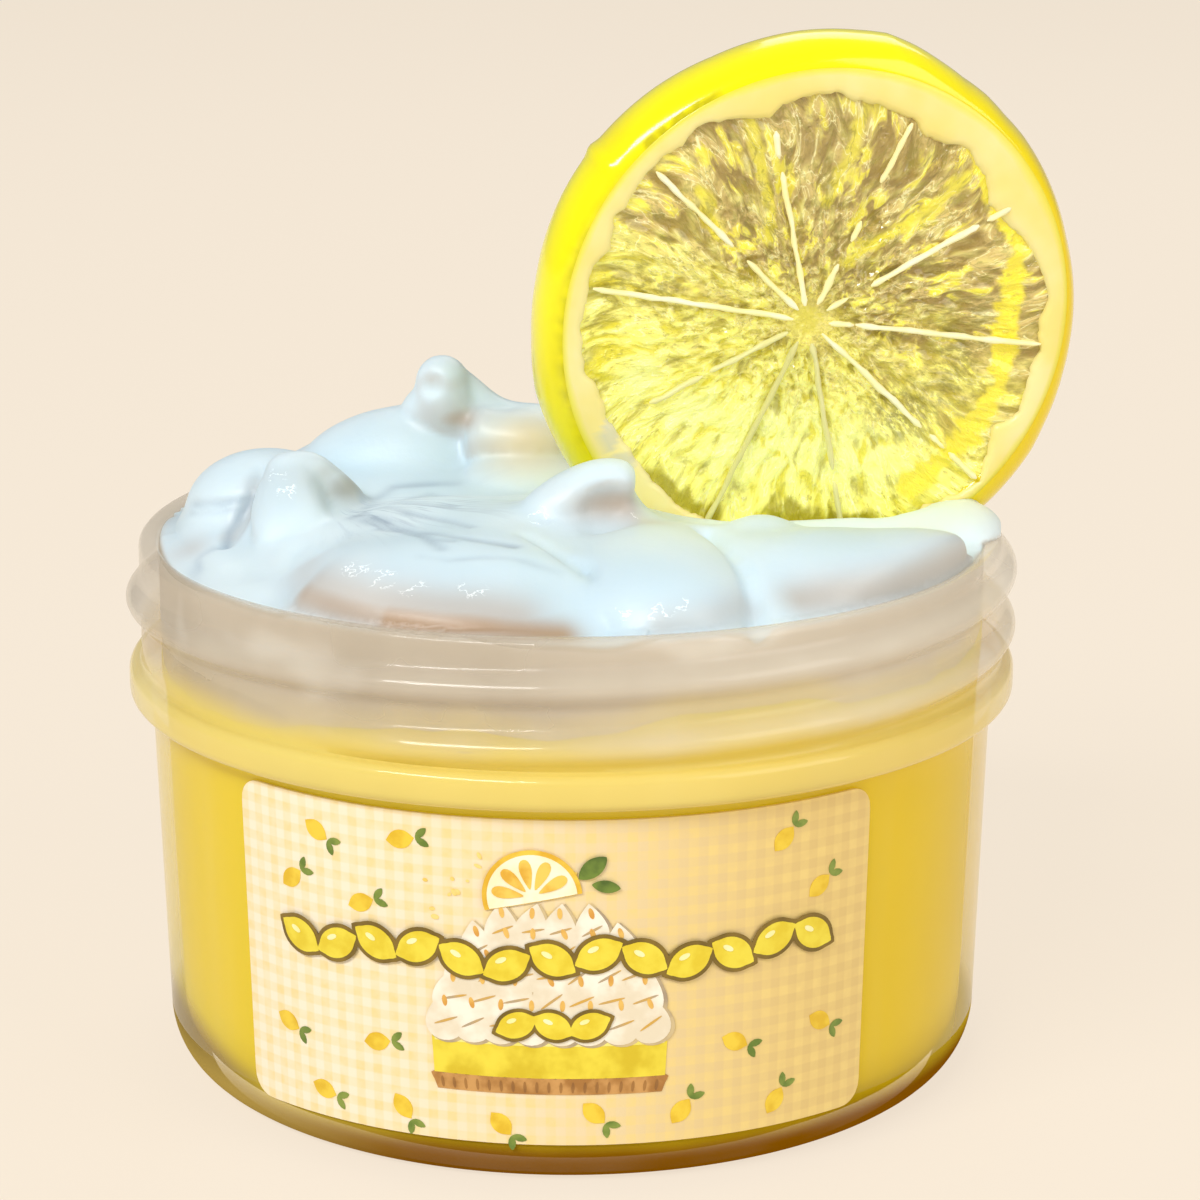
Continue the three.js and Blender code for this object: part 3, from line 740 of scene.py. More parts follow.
def membraneCream():
    mat = newMaterial("creamMembrane", {"Roughness": 0.3, "Emission Strength": 0.1,
                                        **waxy(0.3, (1.0, 0.8, 0.4))})
    cloud = noisy(mat, objectPlace(mat), 200, 3)
    tone = mixed(mat, ranged(mat, cloud, 0.35, 0.7), "fbf0a8", "fffbd2")
    # the membranes glow a little by emission in their own colour, painted light
    plug(mat, layered(mat, tone, ("dull", "cdc884")), "Base Color", "Emission Color")
    return mat


def pithCream():
    mat = newMaterial("creamPith", {"Roughness": 0.3, "Coat Weight": 0.3, "Coat Roughness": 0.08,
                                    "Specular IOR Level": 0.3, **waxy(0.3, (1.0, 0.8, 0.4))})
    cloud = noisy(mat, objectPlace(mat), 90, 3)
    tone = mixed(mat, ranged(mat, cloud, 0.35, 0.7), "fae486", "fdf0ae")
    plug(mat, layered(mat, tone, ("rim", "f9ea2c"), ("chalk", "d9d6bc")), "Base Color")
    addBump(mat, cloud, 0.15, 0.4)
    return mat


def rindGloss():
    mat = newMaterial("lemonRind", {"Roughness": 0.22, "Coat Weight": 0.8, "Coat Roughness": 0.12,
                                    "Specular IOR Level": 0.12, **waxy(0.25, (1.0, 0.85, 0.2))})
    where = objectPlace(mat)
    tone = mixed(mat, ranged(mat, noisy(mat, where, 60), 0.3, 0.7), "f2e000", "fff400")
    plug(mat, layered(mat, tone, ("deeperRight", "f0cc12"), ("smudgeAndShade", "a39a12")), "Base Color")
    addBump(mat, noisy(mat, where, 900), 0.05, 0.25)
    return mat


# where the rind is smudged, with painted shade along its inside on the left, and where it is a deeper yellow
# (middle and half width in degrees), and the pith chalky
ringMarks = {
    "smudgeAndShade": [(-17.8, 18.4, -0.2), (-14.6, 21.0, -0.2), (-10.8, 23.4, -0.2)],
    "inside": (178, 34), "deeperRight": (-5, 55),
    "chalk": [((-20.4, -10.2, 0), (0.9, 1.9, 2)), ((-19.1, -13.1, 0), (1.5, 1.0, 2))],
}

rind = sliceRing("lemon_rind", rindSection(), 24.1)
points = readPoints(rind)
reach, angles = polar(points)
grain = noiseAt(Vector(p) * 1.1 for p in points)
smudgeAndShade = 0.6 * (1 - eased(distanceToPath(points, ringMarks["smudgeAndShade"]) - 1.1 * grain, 0.1, 0.8))
# painted shade along the inside edge of the rind on the left
inside = 0.4 * hill(reach - sliceSize["face"], 0.9) * sector(angles, *ringMarks["inside"]) * (1 + grain)
paint(rind, "smudgeAndShade", np.maximum(smudgeAndShade, inside))
# a deeper yellow towards the right side
paint(rind, "deeperRight", 0.75 * sector(angles, *ringMarks["deeperRight"]))
finishSlicePart(rind, rindGloss())

pith = sliceRing("lemon_pith", pithSection(), 25.2)
points = readPoints(pith)
paint(pith, "rim", eased(polar(points)[0], 24.6, 25.5))
paint(pith, "chalk", 0.8 * eased(spotsAt(points, ringMarks["chalk"]), 0.3, 0.5))
finishSlicePart(pith, pithCream())

finishSlicePart(fleshBody(), fleshGloss(), 80)
finishSlicePart(membraneLines(), membraneCream())
print("lemon slice made")


# the whipped white slime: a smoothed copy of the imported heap, with softer lobes melted into it

heapSize = {
    "firstVoxel": 0.6, "voxel": 0.44, "edge": 0.06, "foot": 45.2, "lipTop": 53.3, "overLip": 42.7,
    "seamGap": 1.2, "sinkSlope": 0.25, "sinkFrom": 36.4, "sinkTo": 40.7, "inside": 38.6, "atWall": 40.2,
    "round": 2.4, "brim": 52.8, "brimRise": 0.7, "brimSector": (-12, 24), "overSector": (-4, 15),
    "cling": 0.75, "clingGap": 0.04,
}
# broad swells, then the lobes on them: middle, half sizes, turn in degrees
swells = {
    "frontBulge": ((-11.4, -28.2, 51.4), (15.2, 10.8, 6.0), (0, 0, -16)),
    "saddle": ((-11.5, -13.5, 55.4), (11.5, 12.0, 2.8), (0, 0, 0)),
    "middleBulge": ((7.4, -25.4, 52.6), (9.8, 14.0, 6.2), (0, 0, 8)),
    "rightLobe": ((28.4, -22.4, 53.6), (13.4, 6.0, 4.3), (0, 0, 33)),
    "leftShoulder": ((-30.4, 0.6, 54.8), (8.4, 6.4, 6.2), (0, 0, 8)),
    "behindLeft": ((-14.0, 26.0, 53.4), (15.0, 8.0, 4.2), (0, 0, 24)),
    "behindRight": ((14.0, 22.0, 53.0), (14.0, 9.0, 4.0), (0, 0, -22)),
    "rightHump": ((18.0, -17.0, 54.4), (5.0, 4.6, 4.0), (0, 0, 20)),
    "backRidge": ((-17.8, 11.0, 56.4), (11.2, 7.0, 6.6), (0, -9, 0)),
}
lobes = {
    "rightNub": ((38.2, -2.4, 53.0), (4.6, 6.8, 2.9), (0, -8, 10)),
    "crestRoot": ((0.1, -16.2, 59.3), (6.8, 3.3, 3.1), (0, -29, 6)),
    "crestTip": ((3.8, -16.4, 61.2), (2.4, 2.1, 2.2), (0, -20, 0)),
    "leftCrest": ((-27.4, -4.4, 58.5), (3.4, 2.3, 3.3), (0, -8, 0)),
    "crestCorner": ((-25.4, -4.4, 59.6), (2.2, 1.8, 1.9), (0, 0, 0)),
    "leftTail": ((-23.4, -4.3, 58.1), (5.2, 1.7, 1.9), (0, 43, 0)),
    "crestApron": ((-27.4, -8.8, 56.4), (3.8, 7.4, 2.6), (34, 0, 0)),
    "curlKnob": ((-13.1, 9.0, 66.0), (2.75, 2.7, 2.75), (0, 0, 0)),
    "curlStem": ((-12.9, 9.0, 63.4), (3.3, 3.0, 4.6), (0, -4, 0)),
    "curlRoot": ((-9.6, 9.0, 61.6), (3.6, 2.6, 2.4), (0, 30, 0)),
    "curlFlank": ((-14.3, 9.6, 62.4), (3.2, 3.0, 3.2), (0, 0, 0)),
    "flapTop": ((-4.8, 6.0, 60.4), (5.8, 3.4, 3.2), (0, 4, 0)),
    "flapLeft": ((-8.5, 6.2, 60.3), (2.3, 2.8, 3.4), (0, 0, 0)),
    "flapFoot": ((-4.8, 2.6, 57.3), (6.2, 4.4, 2.0), (20, 0, 0)),
}
# creases are drawn through the heap: points, half width, depth
creases = [
    ([(12.6, -20.0, 57.5), (15.6, -29.0, 56.0), (16.6, -33.0, 54.0), (16.6, -37.0, 52.0)], 0.9, 1.2),
    ([(-4.0, -24.0, 59.0), (0.8, -30.4, 57.0), (2.9, -33.4, 54.6), (3.4, -37.5, 52.0)], 0.8, 0.8),
    ([(-26.4, -17.0, 55.6), (-27.8, -23.0, 54.6), (-26.5, -31.0, 53.0)], 1.3, 0.6),
    ([(-30.6, -3.4, 61.0), (-31.0, -5.2, 57.6), (-32.2, -6.4, 55.8), (-33.8, -9.0, 54.0)], 0.8, 1.0),
]
# dents pushed in with a fingertip: middle, radius, depth
dents = [
    ((3.2, -20.0, 59.4), 2.6, 1.0), ((-14.2, 6.7, 66.2), 1.2, 0.4), ((-22.4, -7.6, 59.4), 3.2, 0.6),
    ((-29.5, -18.0, 55.5), 4.0, 0.5), ((20.0, -9.5, 57.5), 3.0, 0.8), ((-13.0, -27.0, 58.6), 8.5, 0.9),
]
# the strokes are dented in and painted blue-grey as shade in these fine creases
# fine strokes left by the whipping: points seen from above or in space, half width, strength
strokes = [
    ([(-20.3, -5.0), (-17.6, 0.2), (-14.6, 0.6), (-11.6, 0.8)], 0.7, 0.6),
    ([(-20.2, -6.3), (-17.1, -8.8), (-14.1, -10.9), (-11.2, -12.9)], 0.6, 0.45),
    ([(-21.2, -11.4), (-19.0, -16.2), (-16.1, -19.9), (-13.1, -26.0), (-11.0, -26.4)], 0.65, 0.6),
    ([(-21.1, -10.5), (-18.2, -15.8), (-15.1, -21.4), (-12.1, -28.5)], 0.7, 0.75),
    ([(-18.1, -18.3), (-14.6, -21.8), (-11.2, -25.1), (-8.0, -26.5), (-5.2, -27.9)], 0.6, 0.7),
    ([(-20.3, -9.7), (-18.1, -10.0), (-15.4, -15.0), (-12.4, -17.7), (-9.5, -21.6)], 0.55, 0.6),
    ([(-13.8, -30.1), (-11.1, -31.0), (-8.3, -30.5), (-5.6, -30.7), (-2.9, -31.4), (-1.1, -31.5)], 0.5, 0.3),
    ([(-16.9, -4.8), (-14.0, -2.1), (-9.9, -6.8)], 0.6, 0.4),
    ([(-39.0, -2.2, 55.9), (-36.7, -3.4, 56.1), (-34.1, -4.9, 56.6), (-31.6, -5.1, 57.0)], 0.45, 0.55),
    ([(-38.4, -2.6, 55.0), (-36.1, -4.1, 55.4), (-33.5, -5.4, 56.0), (-31.8, -5.3, 56.3)], 0.35, 0.4),
    ([(-30.8, -5.6, 59.1), (-31.4, -5.1, 57.0), (-32.5, -5.7, 55.4), (-33.5, -6.8, 54.2),
      (-33.7, -8.7, 53.0)], 0.55, 0.7),
    ([(-34.6, -9.0, 53.0), (-36.1, -12.6, 52.8), (-35.4, -17.3, 52.5), (-34.6, -21.6, 52.2)], 0.5, 0.3),
]
# soft spots of colour on the heap, most of them painted light and shade: middle, size, strength
heapMarks = {
    "warmShade": [((4.4, -18.8, 59.6), (4.8, 3.0, 1.8), 0.85), ((-14.1, 7.2, 66.6), (0.8, 1.2, 0.8), 0.4),
             ((-11.4, 6.2, 62.6), (2.8, 2.2, 1.3), 0.7), ((-14.0, 6.2, 62.5), (2.2, 1.6, 1.0), 0.35),
             ((-37.5, -9.0, 53.5), (2.5, 3.0, 1.5), 0.3)],
    "shade": [((-23.6, -6.2, 59.4), (4.2, 4.0, 3.2), 0.36), ((-21.8, -5.2, 58.2), (2.6, 2.6, 2.0), 0.8),
              ((-23.2, -5.2, 59.8), (2.4, 2.4, 1.6), 0.45)],
    # painted shade: a cooler, darker tone on brightly lit slopes of the left crest
    "coolShade": [((-28.4, -8.8, 58.2), (3.6, 6.4, 4.0), 0.5), ((-33.0, -3.0, 58.0), (5.0, 5.0, 3.0), 0.4)],
    "cream": [((-4.4, 3.2, 61.2), (4.8, 3.6, 2.8), 0.9)],
    # painted light bounced from the lemon slice onto the slime near it
    "paintedGlow": [((-4.4, 1.6, 58.4), (4.6, 3.4, 1.8), 0.5), ((18.0, -10.4, 57.0), (6.0, 2.8, 3.0), 0.25),
             ((28.0, -8.6, 56.0), (9.0, 3.0, 3.0), 0.25), ((38.0, -4.0, 54.5), (5.0, 6.0, 3.0), 0.3)],
    "glint": [((-19.6, -31.0, 56.7), (1.6, 1.6, 1.0), 1.0), ((-17.2, -33.2, 56.3), (1.8, 1.6, 1.0), 1.0),
              ((-14.2, -34.8, 55.8), (1.6, 1.4, 0.9), 0.9), ((-9.0, -35.4, 55.8), (1.6, 1.4, 0.9), 1.0),
              ((4.8, -37.7, 54.2), (1.7, 1.2, 0.8), 1.0), ((7.4, -38.1, 54.5), (2.0, 1.2, 0.8), 1.0),
              ((10.2, -37.6, 55.0), (1.4, 1.2, 0.7), 0.8), ((-3.1, -19.3, 58.7), (1.1, 1.6, 1.1), 1.0),
              ((-28.7, -7.4, 60.1), (1.0, 1.8, 1.0), 1.0), ((-27.6, -9.6, 59.0), (1.0, 2.0, 1.2), 1.0),
              ((6.2, -17.8, 58.4), (0.8, 1.0, 0.8), 0.8), ((-6.0, -3.0, 57.8), (1.6, 2.4, 1.0), 0.5)],
}
# painted warm shade in soft bands under the lobes: points, half width, strength
warmShadeBands = [
    ([(-16.5, -36.8, 53.4), (-12.0, -38.4, 53.3), (-6.0, -39.2, 53.2), (-1.0, -39.1, 53.0)], 2.0, 0.92),
    ([(-24.0, -30.6, 53.9), (-21.0, -33.8, 53.8), (-17.5, -36.2, 53.6), (-12.0, -38.0, 53.6)], 2.0, 0.72),
    ([(-23.0, -31.0, 54.4), (-18.5, -34.8, 54.2), (-12.0, -37.2, 54.2), (-5.0, -38.2, 54.0)], 3.2, 0.52),
    ([(-24.6, -24.0, 54.6), (-23.6, -30.0, 54.3)], 2.6, 0.25),
    ([(21.0, -32.0, 54.0), (27.0, -29.2, 53.9), (32.0, -25.6, 54.1), (36.0, -19.6, 54.2),
      (37.6, -15.6, 54.0)], 2.4, 0.5),
    ([(8.0, -38.6, 53.2), (12.5, -36.8, 53.4), (15.6, -33.4, 53.6)], 1.8, 0.3),
    ([(-31.0, -4.8, 58.6), (-31.4, -5.6, 56.4), (-33.4, -7.6, 54.2)], 1.2, 0.4),
]
# strokes fan out from here
fanSize = {"at": (-24.0, -4.0), "middle": -36.0, "half": 40.0, "spread": 16, "length": 11, "top": 59.6}


def strokeField(points, normals):
    field = np.zeros(len(points))
    for path, width, strength in strokes:
        gap = distanceToPath(points[:, :len(path[0])], path)
        field = np.maximum(field, strength * hill(gap, width))
    for k in np.nonzero(field > 0.03)[0]:
        field[k] *= 0.8 + 0.5 * noise.noise(Vector(points[k]) * 0.35)
    return np.clip(field, 0, 1) * (normals[:, 2] > 0.12) * (points[:, 2] < 60)


# where the fan of fine streaks shows, and the directions it follows
def paintFan(obj, points, normals):
    f = fanSize
    x, y = points[:, 0] - f["at"][0], points[:, 1] - f["at"][1]
    turned, reach = np.arctan2(y, x), np.hypot(x, y)
    shown = sector(np.degrees(turned), f["middle"], f["half"])
    shown *= eased(reach, 2.5, 5) * (1 - eased(reach, 9, 27))
    ways = [np.cos(turned) * f["spread"], np.sin(turned) * f["spread"], reach / f["length"]]
    paint(obj, "fan", np.stack(ways, axis=1))
    paint(obj, "feather", shown * (points[:, 2] < f["top"]) * eased(normals[:, 2], 0.1, 0.6))


def remeshed(obj, voxel, smoothing):
    pickOnly(obj)
    obj.data.remesh_voxel_size = voxel * mm
    bpy.ops.object.voxel_remesh()
    modify(obj, "SMOOTH", factor=0.5, iterations=smoothing)
    return obj


def meltIn(heap, shapes, voxel, smoothing):
    balls = []
    for name, (at, size, turn) in shapes.items():
        ball = newPrimitive(name, bpy.ops.mesh.primitive_uv_sphere_add, segments=48, ring_count=24,
                            radius=mm, location=[v * mm for v in at],
                            rotation=[math.radians(v) for v in turn])
        ball.scale = size
        bpy.ops.object.transform_apply()
        balls.append(ball)
    return remeshed(joined("white_slime_heap", [heap] + balls), voxel, smoothing)


def heapBody():
    h = heapSize
    heap = bpy.data.objects.new("white_slime_heap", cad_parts["white_slime"].data.copy())
    bpy.context.scene.collection.objects.link(heap)
    weld(heap)
    remeshed(heap, h["firstVoxel"], 14)
    heap = meltIn(heap, swells, h["firstVoxel"], 36)
    heap = meltIn(heap, lobes, h["voxel"], 13)
    points, normals = readPoints(heap), readVectors(heap, "normal")
    for path, width, depth in creases:
        points -= normals * (depth * hill(distanceToPath(points, path), width))[:, None]
    for middle, radius, depth in dents:
        gap = np.linalg.norm(points - np.array(middle), axis=1)
        points -= normals * (depth * hill(gap, radius, 4))[:, None]
    writePoints(heap, points)
    modify(heap, "SMOOTH", factor=0.5, iterations=3)
    points, normals = readPoints(heap), readVectors(heap, "normal")
    fold = strokeField(points, normals)
    points -= normals * (0.25 * fold)[:, None]
    return heap, points, fold


# the wall side reaches just into the jar, and slime passes over the lip only on the right
def fitToJar(points):
    h = heapSize
    reach, angles = polar(points)
    heights = points[:, 2]
    drop = h["foot"] - heights + np.clip(h["sinkTo"] - reach, 0, h["sinkTo"] - h["sinkFrom"])
    sunk = seamHeights(points) - h["seamGap"] - h["sinkSlope"] * drop
    sunk = np.where((heights < h["foot"]) & (reach > h["sinkFrom"]), sunk, heights)
    neck = (jarSize["collarBottom"], jarSize["collarTop"] + 1)
    wall = np.interp(sunk, neck, (boreRadius(neck[0]), jarSize["bore"])) + h["edge"]
    rounded = h["inside"] + h["round"] * np.tanh((reach - h["inside"]) / h["round"])
    rounded = np.where(reach > h["inside"], rounded, reach)
    low = 2.0 * (1 - eased(heights, 45.5, 48))
    atWall = reach + (wall - reach) * eased(reach + low, h["inside"], h["atWall"])
    brim = h["brim"] + h["brimRise"] * sector(angles, *h["brimSector"])
    target = np.where(heights < brim, atWall, rounded)
    over = (heights > h["lipTop"]) * sector(angles, *h["overSector"])
    target = np.minimum(np.where(over > 0.3, reach, target), wall + (h["overLip"] - wall) * over)
    points[:, :2] *= (target / np.maximum(reach, 1e-6))[:, None]
    points[:, 2] = sunk


# slime clings to the slice where it comes near
def clingToSlice(points, target):
    tree = BVHTree.FromObject(target, bpy.context.evaluated_depsgraph_get())
    low, high = [np.array(v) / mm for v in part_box("lemon_slice")]
    near = np.all((points > low - 1) & (points < high + 1), axis=1)
    for k in np.nonzero(near)[0]:
        spot, normal, _, _ = tree.find_nearest(Vector(points[k]) * mm, heapSize["cling"] * mm)
        if spot is not None:
            points[k] = np.array(spot - normal * heapSize["clingGap"] * mm) / mm


def whiteGloss():
    mat = newMaterial("whippedSlime", {"Roughness": 0.46, "Coat Weight": 0.15, "Coat Roughness": 0.3,
                                       "Emission Strength": 0.35, **waxy(0.35, (1.0, 0.9, 0.8), 0.004)})
    where, _, reach, height = jarPlace(mat)
    fan = node(mat, "Attribute", {}, attribute_name="fan").outputs["Vector"]
    streak = ranged(mat, noisy(mat, fan, 1, 6, 0.62, 0.3), 0.48, 0.64, 0.0, 0.8)
    # the wall side seen through the plastic: painted shade of the gap to the wall, with lighter patches
    # where the slime touches
    hazyShade = mixed(mat, ranged(mat, noisy(mat, where, (70, 70, 110)), 0.5, 0.66), "d3c8b8", "f2efe8")
    hazyShade = layered(mat, hazyShade, ("seam", "f0dc8c"))
    atWall = times(mat, ranged(mat, reach, 40.3, 40.9), ranged(mat, height, 53.0, 52.0))
    tone = mixed(mat, ranged(mat, noisy(mat, where, 50), 0.3, 0.7), "cfe6f2", "e1f2fa")
    tone = layered(mat, tone, ("paintedGlow", "f7f6dc"), ("warmShade", "b08d66"), ("cream", "e8d8b4"),
                   ("coolShade", "bdd3de"), ("shade", "85826e"),
                   (times(mat, painted(mat, "feather"), streak), "9db2c4"),
                   (times(mat, painted(mat, "fold"), 0.85), "8ea5b8"), (atWall, hazyShade))
    plug(mat, tone, "Base Color")
    # painted glints: thin white outlines that glow by emission where the glint layer is painted
    edge = contour(mat, noisy(mat, where, (420, 420, 700), 4, 0.6), 0.5, 0.004, 0.02, 1.0)
    edge = times(mat, edge, ranged(mat, painted(mat, "glint"), 0.3, 0.6))
    plug(mat, mixed(mat, edge, "000000", "ffffff"), "Emission Color")
    addBump(mat, noisy(mat, where, 1500, 3), 0.05, 0.5)
    return mat


heap, points, fold = heapBody()
clingToSlice(points, rind)
fitToJar(points)
writePoints(heap, points)
normals = readVectors(heap, "normal")
marks = {name: np.max([strength * spotAt(points, at, size) for at, size, strength in spots], axis=0)
         for name, spots in heapMarks.items()}
bands = [strength * hill(distanceToPath(points, path), width) for path, width, strength in warmShadeBands]
# painted warm shade on surfaces that face downward and to the front
under = 0.4 * (1 - eased(normals[:, 2], -0.1, 0.5)) * (points[:, 2] > 53) * eased(-normals[:, 1], 0.1, 0.6)
marks["warmShade"] = np.max([marks["warmShade"], under] + bands, axis=0)
for name, values in marks.items():
    paint(heap, name, values)
paint(heap, "fold", fold)
paintFan(heap, points, normals)
paint(heap, "seam", 1 - eased(points[:, 2] - seamHeights(points), 0.0, 2.6))
shadeSmooth(heap, 80)
finishPiece(heap, whiteGloss(), "white_slime")
print("white slime made")


# the sticker: a thin sheet bent round the wall, with its print laid on as thin shapes

stickerSize = {
    "width": 63.5, "height": 31.75, "corner": 2.2, "bottom": 4.5, "facing": -93.0,
    "back": -0.05, "front": 0.28, "columns": 110, "rows": 40, "check": 1.85, "ink": 0.03,
}
stickerMiddle = stickerSize["bottom"] + stickerSize["height"] / 2
bendRadius = wallRadius(stickerMiddle)


def wrapOnJar(obj, lift):
    points = readPoints(obj)
    height = stickerMiddle + points[:, 1]
    reach = wallRadius(height) + lift + points[:, 2]
    angle = math.radians(stickerSize["facing"]) + points[:, 0] / bendRadius
    writePoints(obj, np.stack([reach * np.cos(angle), reach * np.sin(angle), height], axis=1))


def stickerSheet():
    s = stickerSize
    sheet = newPrimitive("sticker_sheet", bpy.ops.mesh.primitive_grid_add, x_subdivisions=s["columns"],
                         y_subdivisions=s["rows"], size=mm)
    points = readPoints(sheet) * np.array([s["width"], s["height"], 1])
    corner = np.array([s["width"] / 2 - s["corner"], s["height"] / 2 - s["corner"]])
    past = np.abs(points[:, :2]) - corner
    long = np.hypot(past[:, 0], past[:, 1])
    cut = (past[:, 0] > 0) & (past[:, 1] > 0) & (long > s["corner"])
    pulled = corner + past * (s["corner"] / np.maximum(long, 1e-6))[:, None]
    points[cut, :2] = (np.sign(points[:, :2]) * pulled)[cut]
    writePoints(sheet, points)
    modify(sheet, "SOLIDIFY", thickness=(s["front"] - s["back"]) * mm, offset=1)
    wrapOnJar(sheet, s["back"])
    return sheet


def stickerPaper():
    mat = newMaterial("checkedPaper", {"Roughness": 0.42, "Coat Weight": 0.25, "Coat Roughness": 0.25,
                                       "Specular IOR Level": 0.4})
    flat = node(mat, "UVMap", {}, uv_map="UVMap").outputs[0]
    parts = node(mat, "SeparateXYZ", {0: flat}).outputs
    bands = []
    for output, size in ((parts[0], stickerSize["width"]), (parts[1], stickerSize["height"])):
        wave = maths(mat, "SINE", times(mat, output, size / stickerSize["check"] * math.tau))
        bands.append(ranged(mat, wave, -0.35, 0.35))
    check = times(mat, plus(mat, bands[0], bands[1]), 0.5)
    check = times(mat, check, ranged(mat, noisy(mat, flat, (40, 20, 1)), 0.3, 0.7, 0.55, 1.0))
    # painted shade: the paper darkens towards the right
    shadedPaper = mixed(mat, ranged(mat, parts[0], 0.1, 0.95), "faeed4", "e0c17a")
    plug(mat, mixed(mat, times(mat, check, 0.75), shadedPaper, "f2d684"), "Base Color")
    addBump(mat, noisy(mat, flat, (900, 450, 1)), 0.02, 0.3)
    return mat


# a flat shape drawn round its middle by a rule that gives (x, y) for each angle
def flatShape(count, rule, at=(0, 0), turn=0.0, size=1.0):
    obj = newPrimitive("print", bpy.ops.mesh.primitive_circle_add, vertices=count, radius=mm,
                       fill_type="TRIFAN")
    points = readPoints(obj)
    c, s = math.cos(math.radians(turn)), math.sin(math.radians(turn))
    for k, (x, y, _) in enumerate(points):
        if math.hypot(x, y) > 0.5:
            x, y = rule(math.atan2(y, x))
        points[k] = (at[0] + size * (x * c - y * s), at[1] + size * (x * s + y * c), 0)
    writePoints(obj, points)
    return obj


def lemonRule(long, wide):
    def rule(t):
        tip = 1 + 0.22 * (math.exp(-(t / 0.28) ** 2) + math.exp(-((abs(t) - math.pi) / 0.28) ** 2))
        return long * math.cos(t) * tip, wide * math.sin(t)
    return rule


def leafRule(long, wide):
    return lambda t: (long * math.cos(t), wide * math.sin(t) * abs(math.sin(t)) ** 0.6)


def ovalRule(long, wide):
    return lambda t: (long * math.cos(t), wide * math.sin(t))


# a teardrop with its tip up
def dropRule(wide, high):
    return lambda t: (1.3 * wide * math.cos(t) * max((1 - math.sin(t)) / 2, 0) ** 0.5, high * math.sin(t))


def halfDiscRule(radius):
    return lambda t: (radius * math.cos(t), radius * max(math.sin(t), -0.12))


# an upright band that widens upward by its flare
def bandShape(left, right, bottom, top, flare, columns, rows):
    obj = newPrimitive("band", bpy.ops.mesh.primitive_grid_add, x_subdivisions=columns,
                       y_subdivisions=rows, size=mm)
    points = readPoints(obj)
    up = points[:, 1] + 0.5
    points[:, 0] = (left + right) / 2 + points[:, 0] * (right - left) * (1 + flare * up)
    points[:, 1] = bottom + (top - bottom) * up
    writePoints(obj, points)
    return obj


def heading(turn):
    return Vector((math.cos(math.radians(turn)), math.sin(math.radians(turn))))


# lays shapes on the paper at a height over it, in an ink mottled between two tones
def layPrint(name, shapes, lift, ink, code, other, scale=500):
    obj = joined("sticker_" + name, shapes)
    modify(obj, "SOLIDIFY", thickness=stickerSize["ink"] * mm, offset=1)
    wrapOnJar(obj, stickerSize["front"] + lift)
    shadeSmooth(obj, 40)
    mat = newMaterial(ink + "Ink", {"Roughness": 0.45, "Coat Weight": 0.2, "Coat Roughness": 0.25})
    cloud = ranged(mat, noisy(mat, objectPlace(mat), scale, 3), 0.35, 0.65)
    plug(mat, mixed(mat, cloud, code, other), "Base Color")
    finishPiece(obj, mat, "sticker")


sheet = stickerSheet()
shadeSmooth(sheet, 40)
finishPiece(sheet, stickerPaper(), "sticker")

# a scatter of small lemons in staggered rows, clear of the middle and the garland
scatter = {
    "rows": 5, "columns": 8, "stepX": 8.6, "stepY": 6.6, "strayX": 1.2, "strayY": 0.8,
    "clearX": 13.5, "clearLow": -12.0, "garland": (-2.3, 6.2), "halfX": 29, "halfY": 14,
}
draw = random.Random(7)
fruits, leaves = [], []
for row in range(scatter["rows"]):
    for column in range(scatter["columns"]):
        x = (column - (scatter["columns"] - 1) / 2 + 0.5 * (row % 2)) * scatter["stepX"]
        x += draw.uniform(-scatter["strayX"], scatter["strayX"])
        y = (row - (scatter["rows"] - 1) / 2) * scatter["stepY"]
        y += draw.uniform(-scatter["strayY"], scatter["strayY"])
        turn = draw.uniform(-60, 60)
        inMiddle = abs(x) < scatter["clearX"] and y > scatter["clearLow"]
        inGarland = scatter["garland"][0] < y < scatter["garland"][1]
        if inMiddle or inGarland or abs(x) > scatter["halfX"] or abs(y) > scatter["halfY"]:
            continue
        fruits.append(flatShape(20, lemonRule(1.15, 0.9), (x, y), turn))
        for leafTurn in (turn - 38, turn + 34):
            spot = Vector((x, y)) + heading(turn) * 1.5 + heading(leafTurn) * 0.75
            leaves.append(flatShape(12, leafRule(0.72, 0.36), spot, leafTurn))
layPrint("fruits", fruits, 0.02, "fruit", "e2b818", "f2d038")
layPrint("leaves", leaves, 0.03, "leaf", "5f7a22", "86983c")

# the middle of the print: a small tart seen from the front, under half a lemon wheel
tart = {"half": 10.4, "foot": -10.8, "crust": -9.1, "filling": -4.9, "flutes": 19}
crust = bandShape(-tart["half"], tart["half"], tart["foot"], tart["crust"], 0.06, 72, 8)
points = readPoints(crust)
scallops = np.cos(points[:, 0] * math.tau * tart["flutes"] / 22)
points[:, 1] += 0.2 * scallops * (points[:, 1] > tart["crust"] - 0.8)
writePoints(crust, points)
layPrint("crust", [crust], 0.04, "crust", "a8722f", "cf9a56")
spacing = [k / (tart["flutes"] - 1) for k in range(tart["flutes"])]
flutes = [flatShape(14, ovalRule(0.14, 0.55), (19.8 * k - 9.9, -10.1), 8 - 16 * k) for k in spacing]
layPrint("flutes", flutes, 0.07, "flute", "8f6028", "a87636")
filling = bandShape(-10.7, 10.7, tart["crust"] - 0.1, tart["filling"], 0.02, 40, 6)
layPrint("filling", [filling], 0.05, "filling", "d8bd14", "f0dc3c", 300)
glaze = bandShape(-10.6, 10.6, tart["filling"] - 1.1, tart["filling"] - 0.3, 0.0, 40, 2)
layPrint("glaze", [glaze], 0.08, "glaze", "f2e460", "f8ee8c", 300)

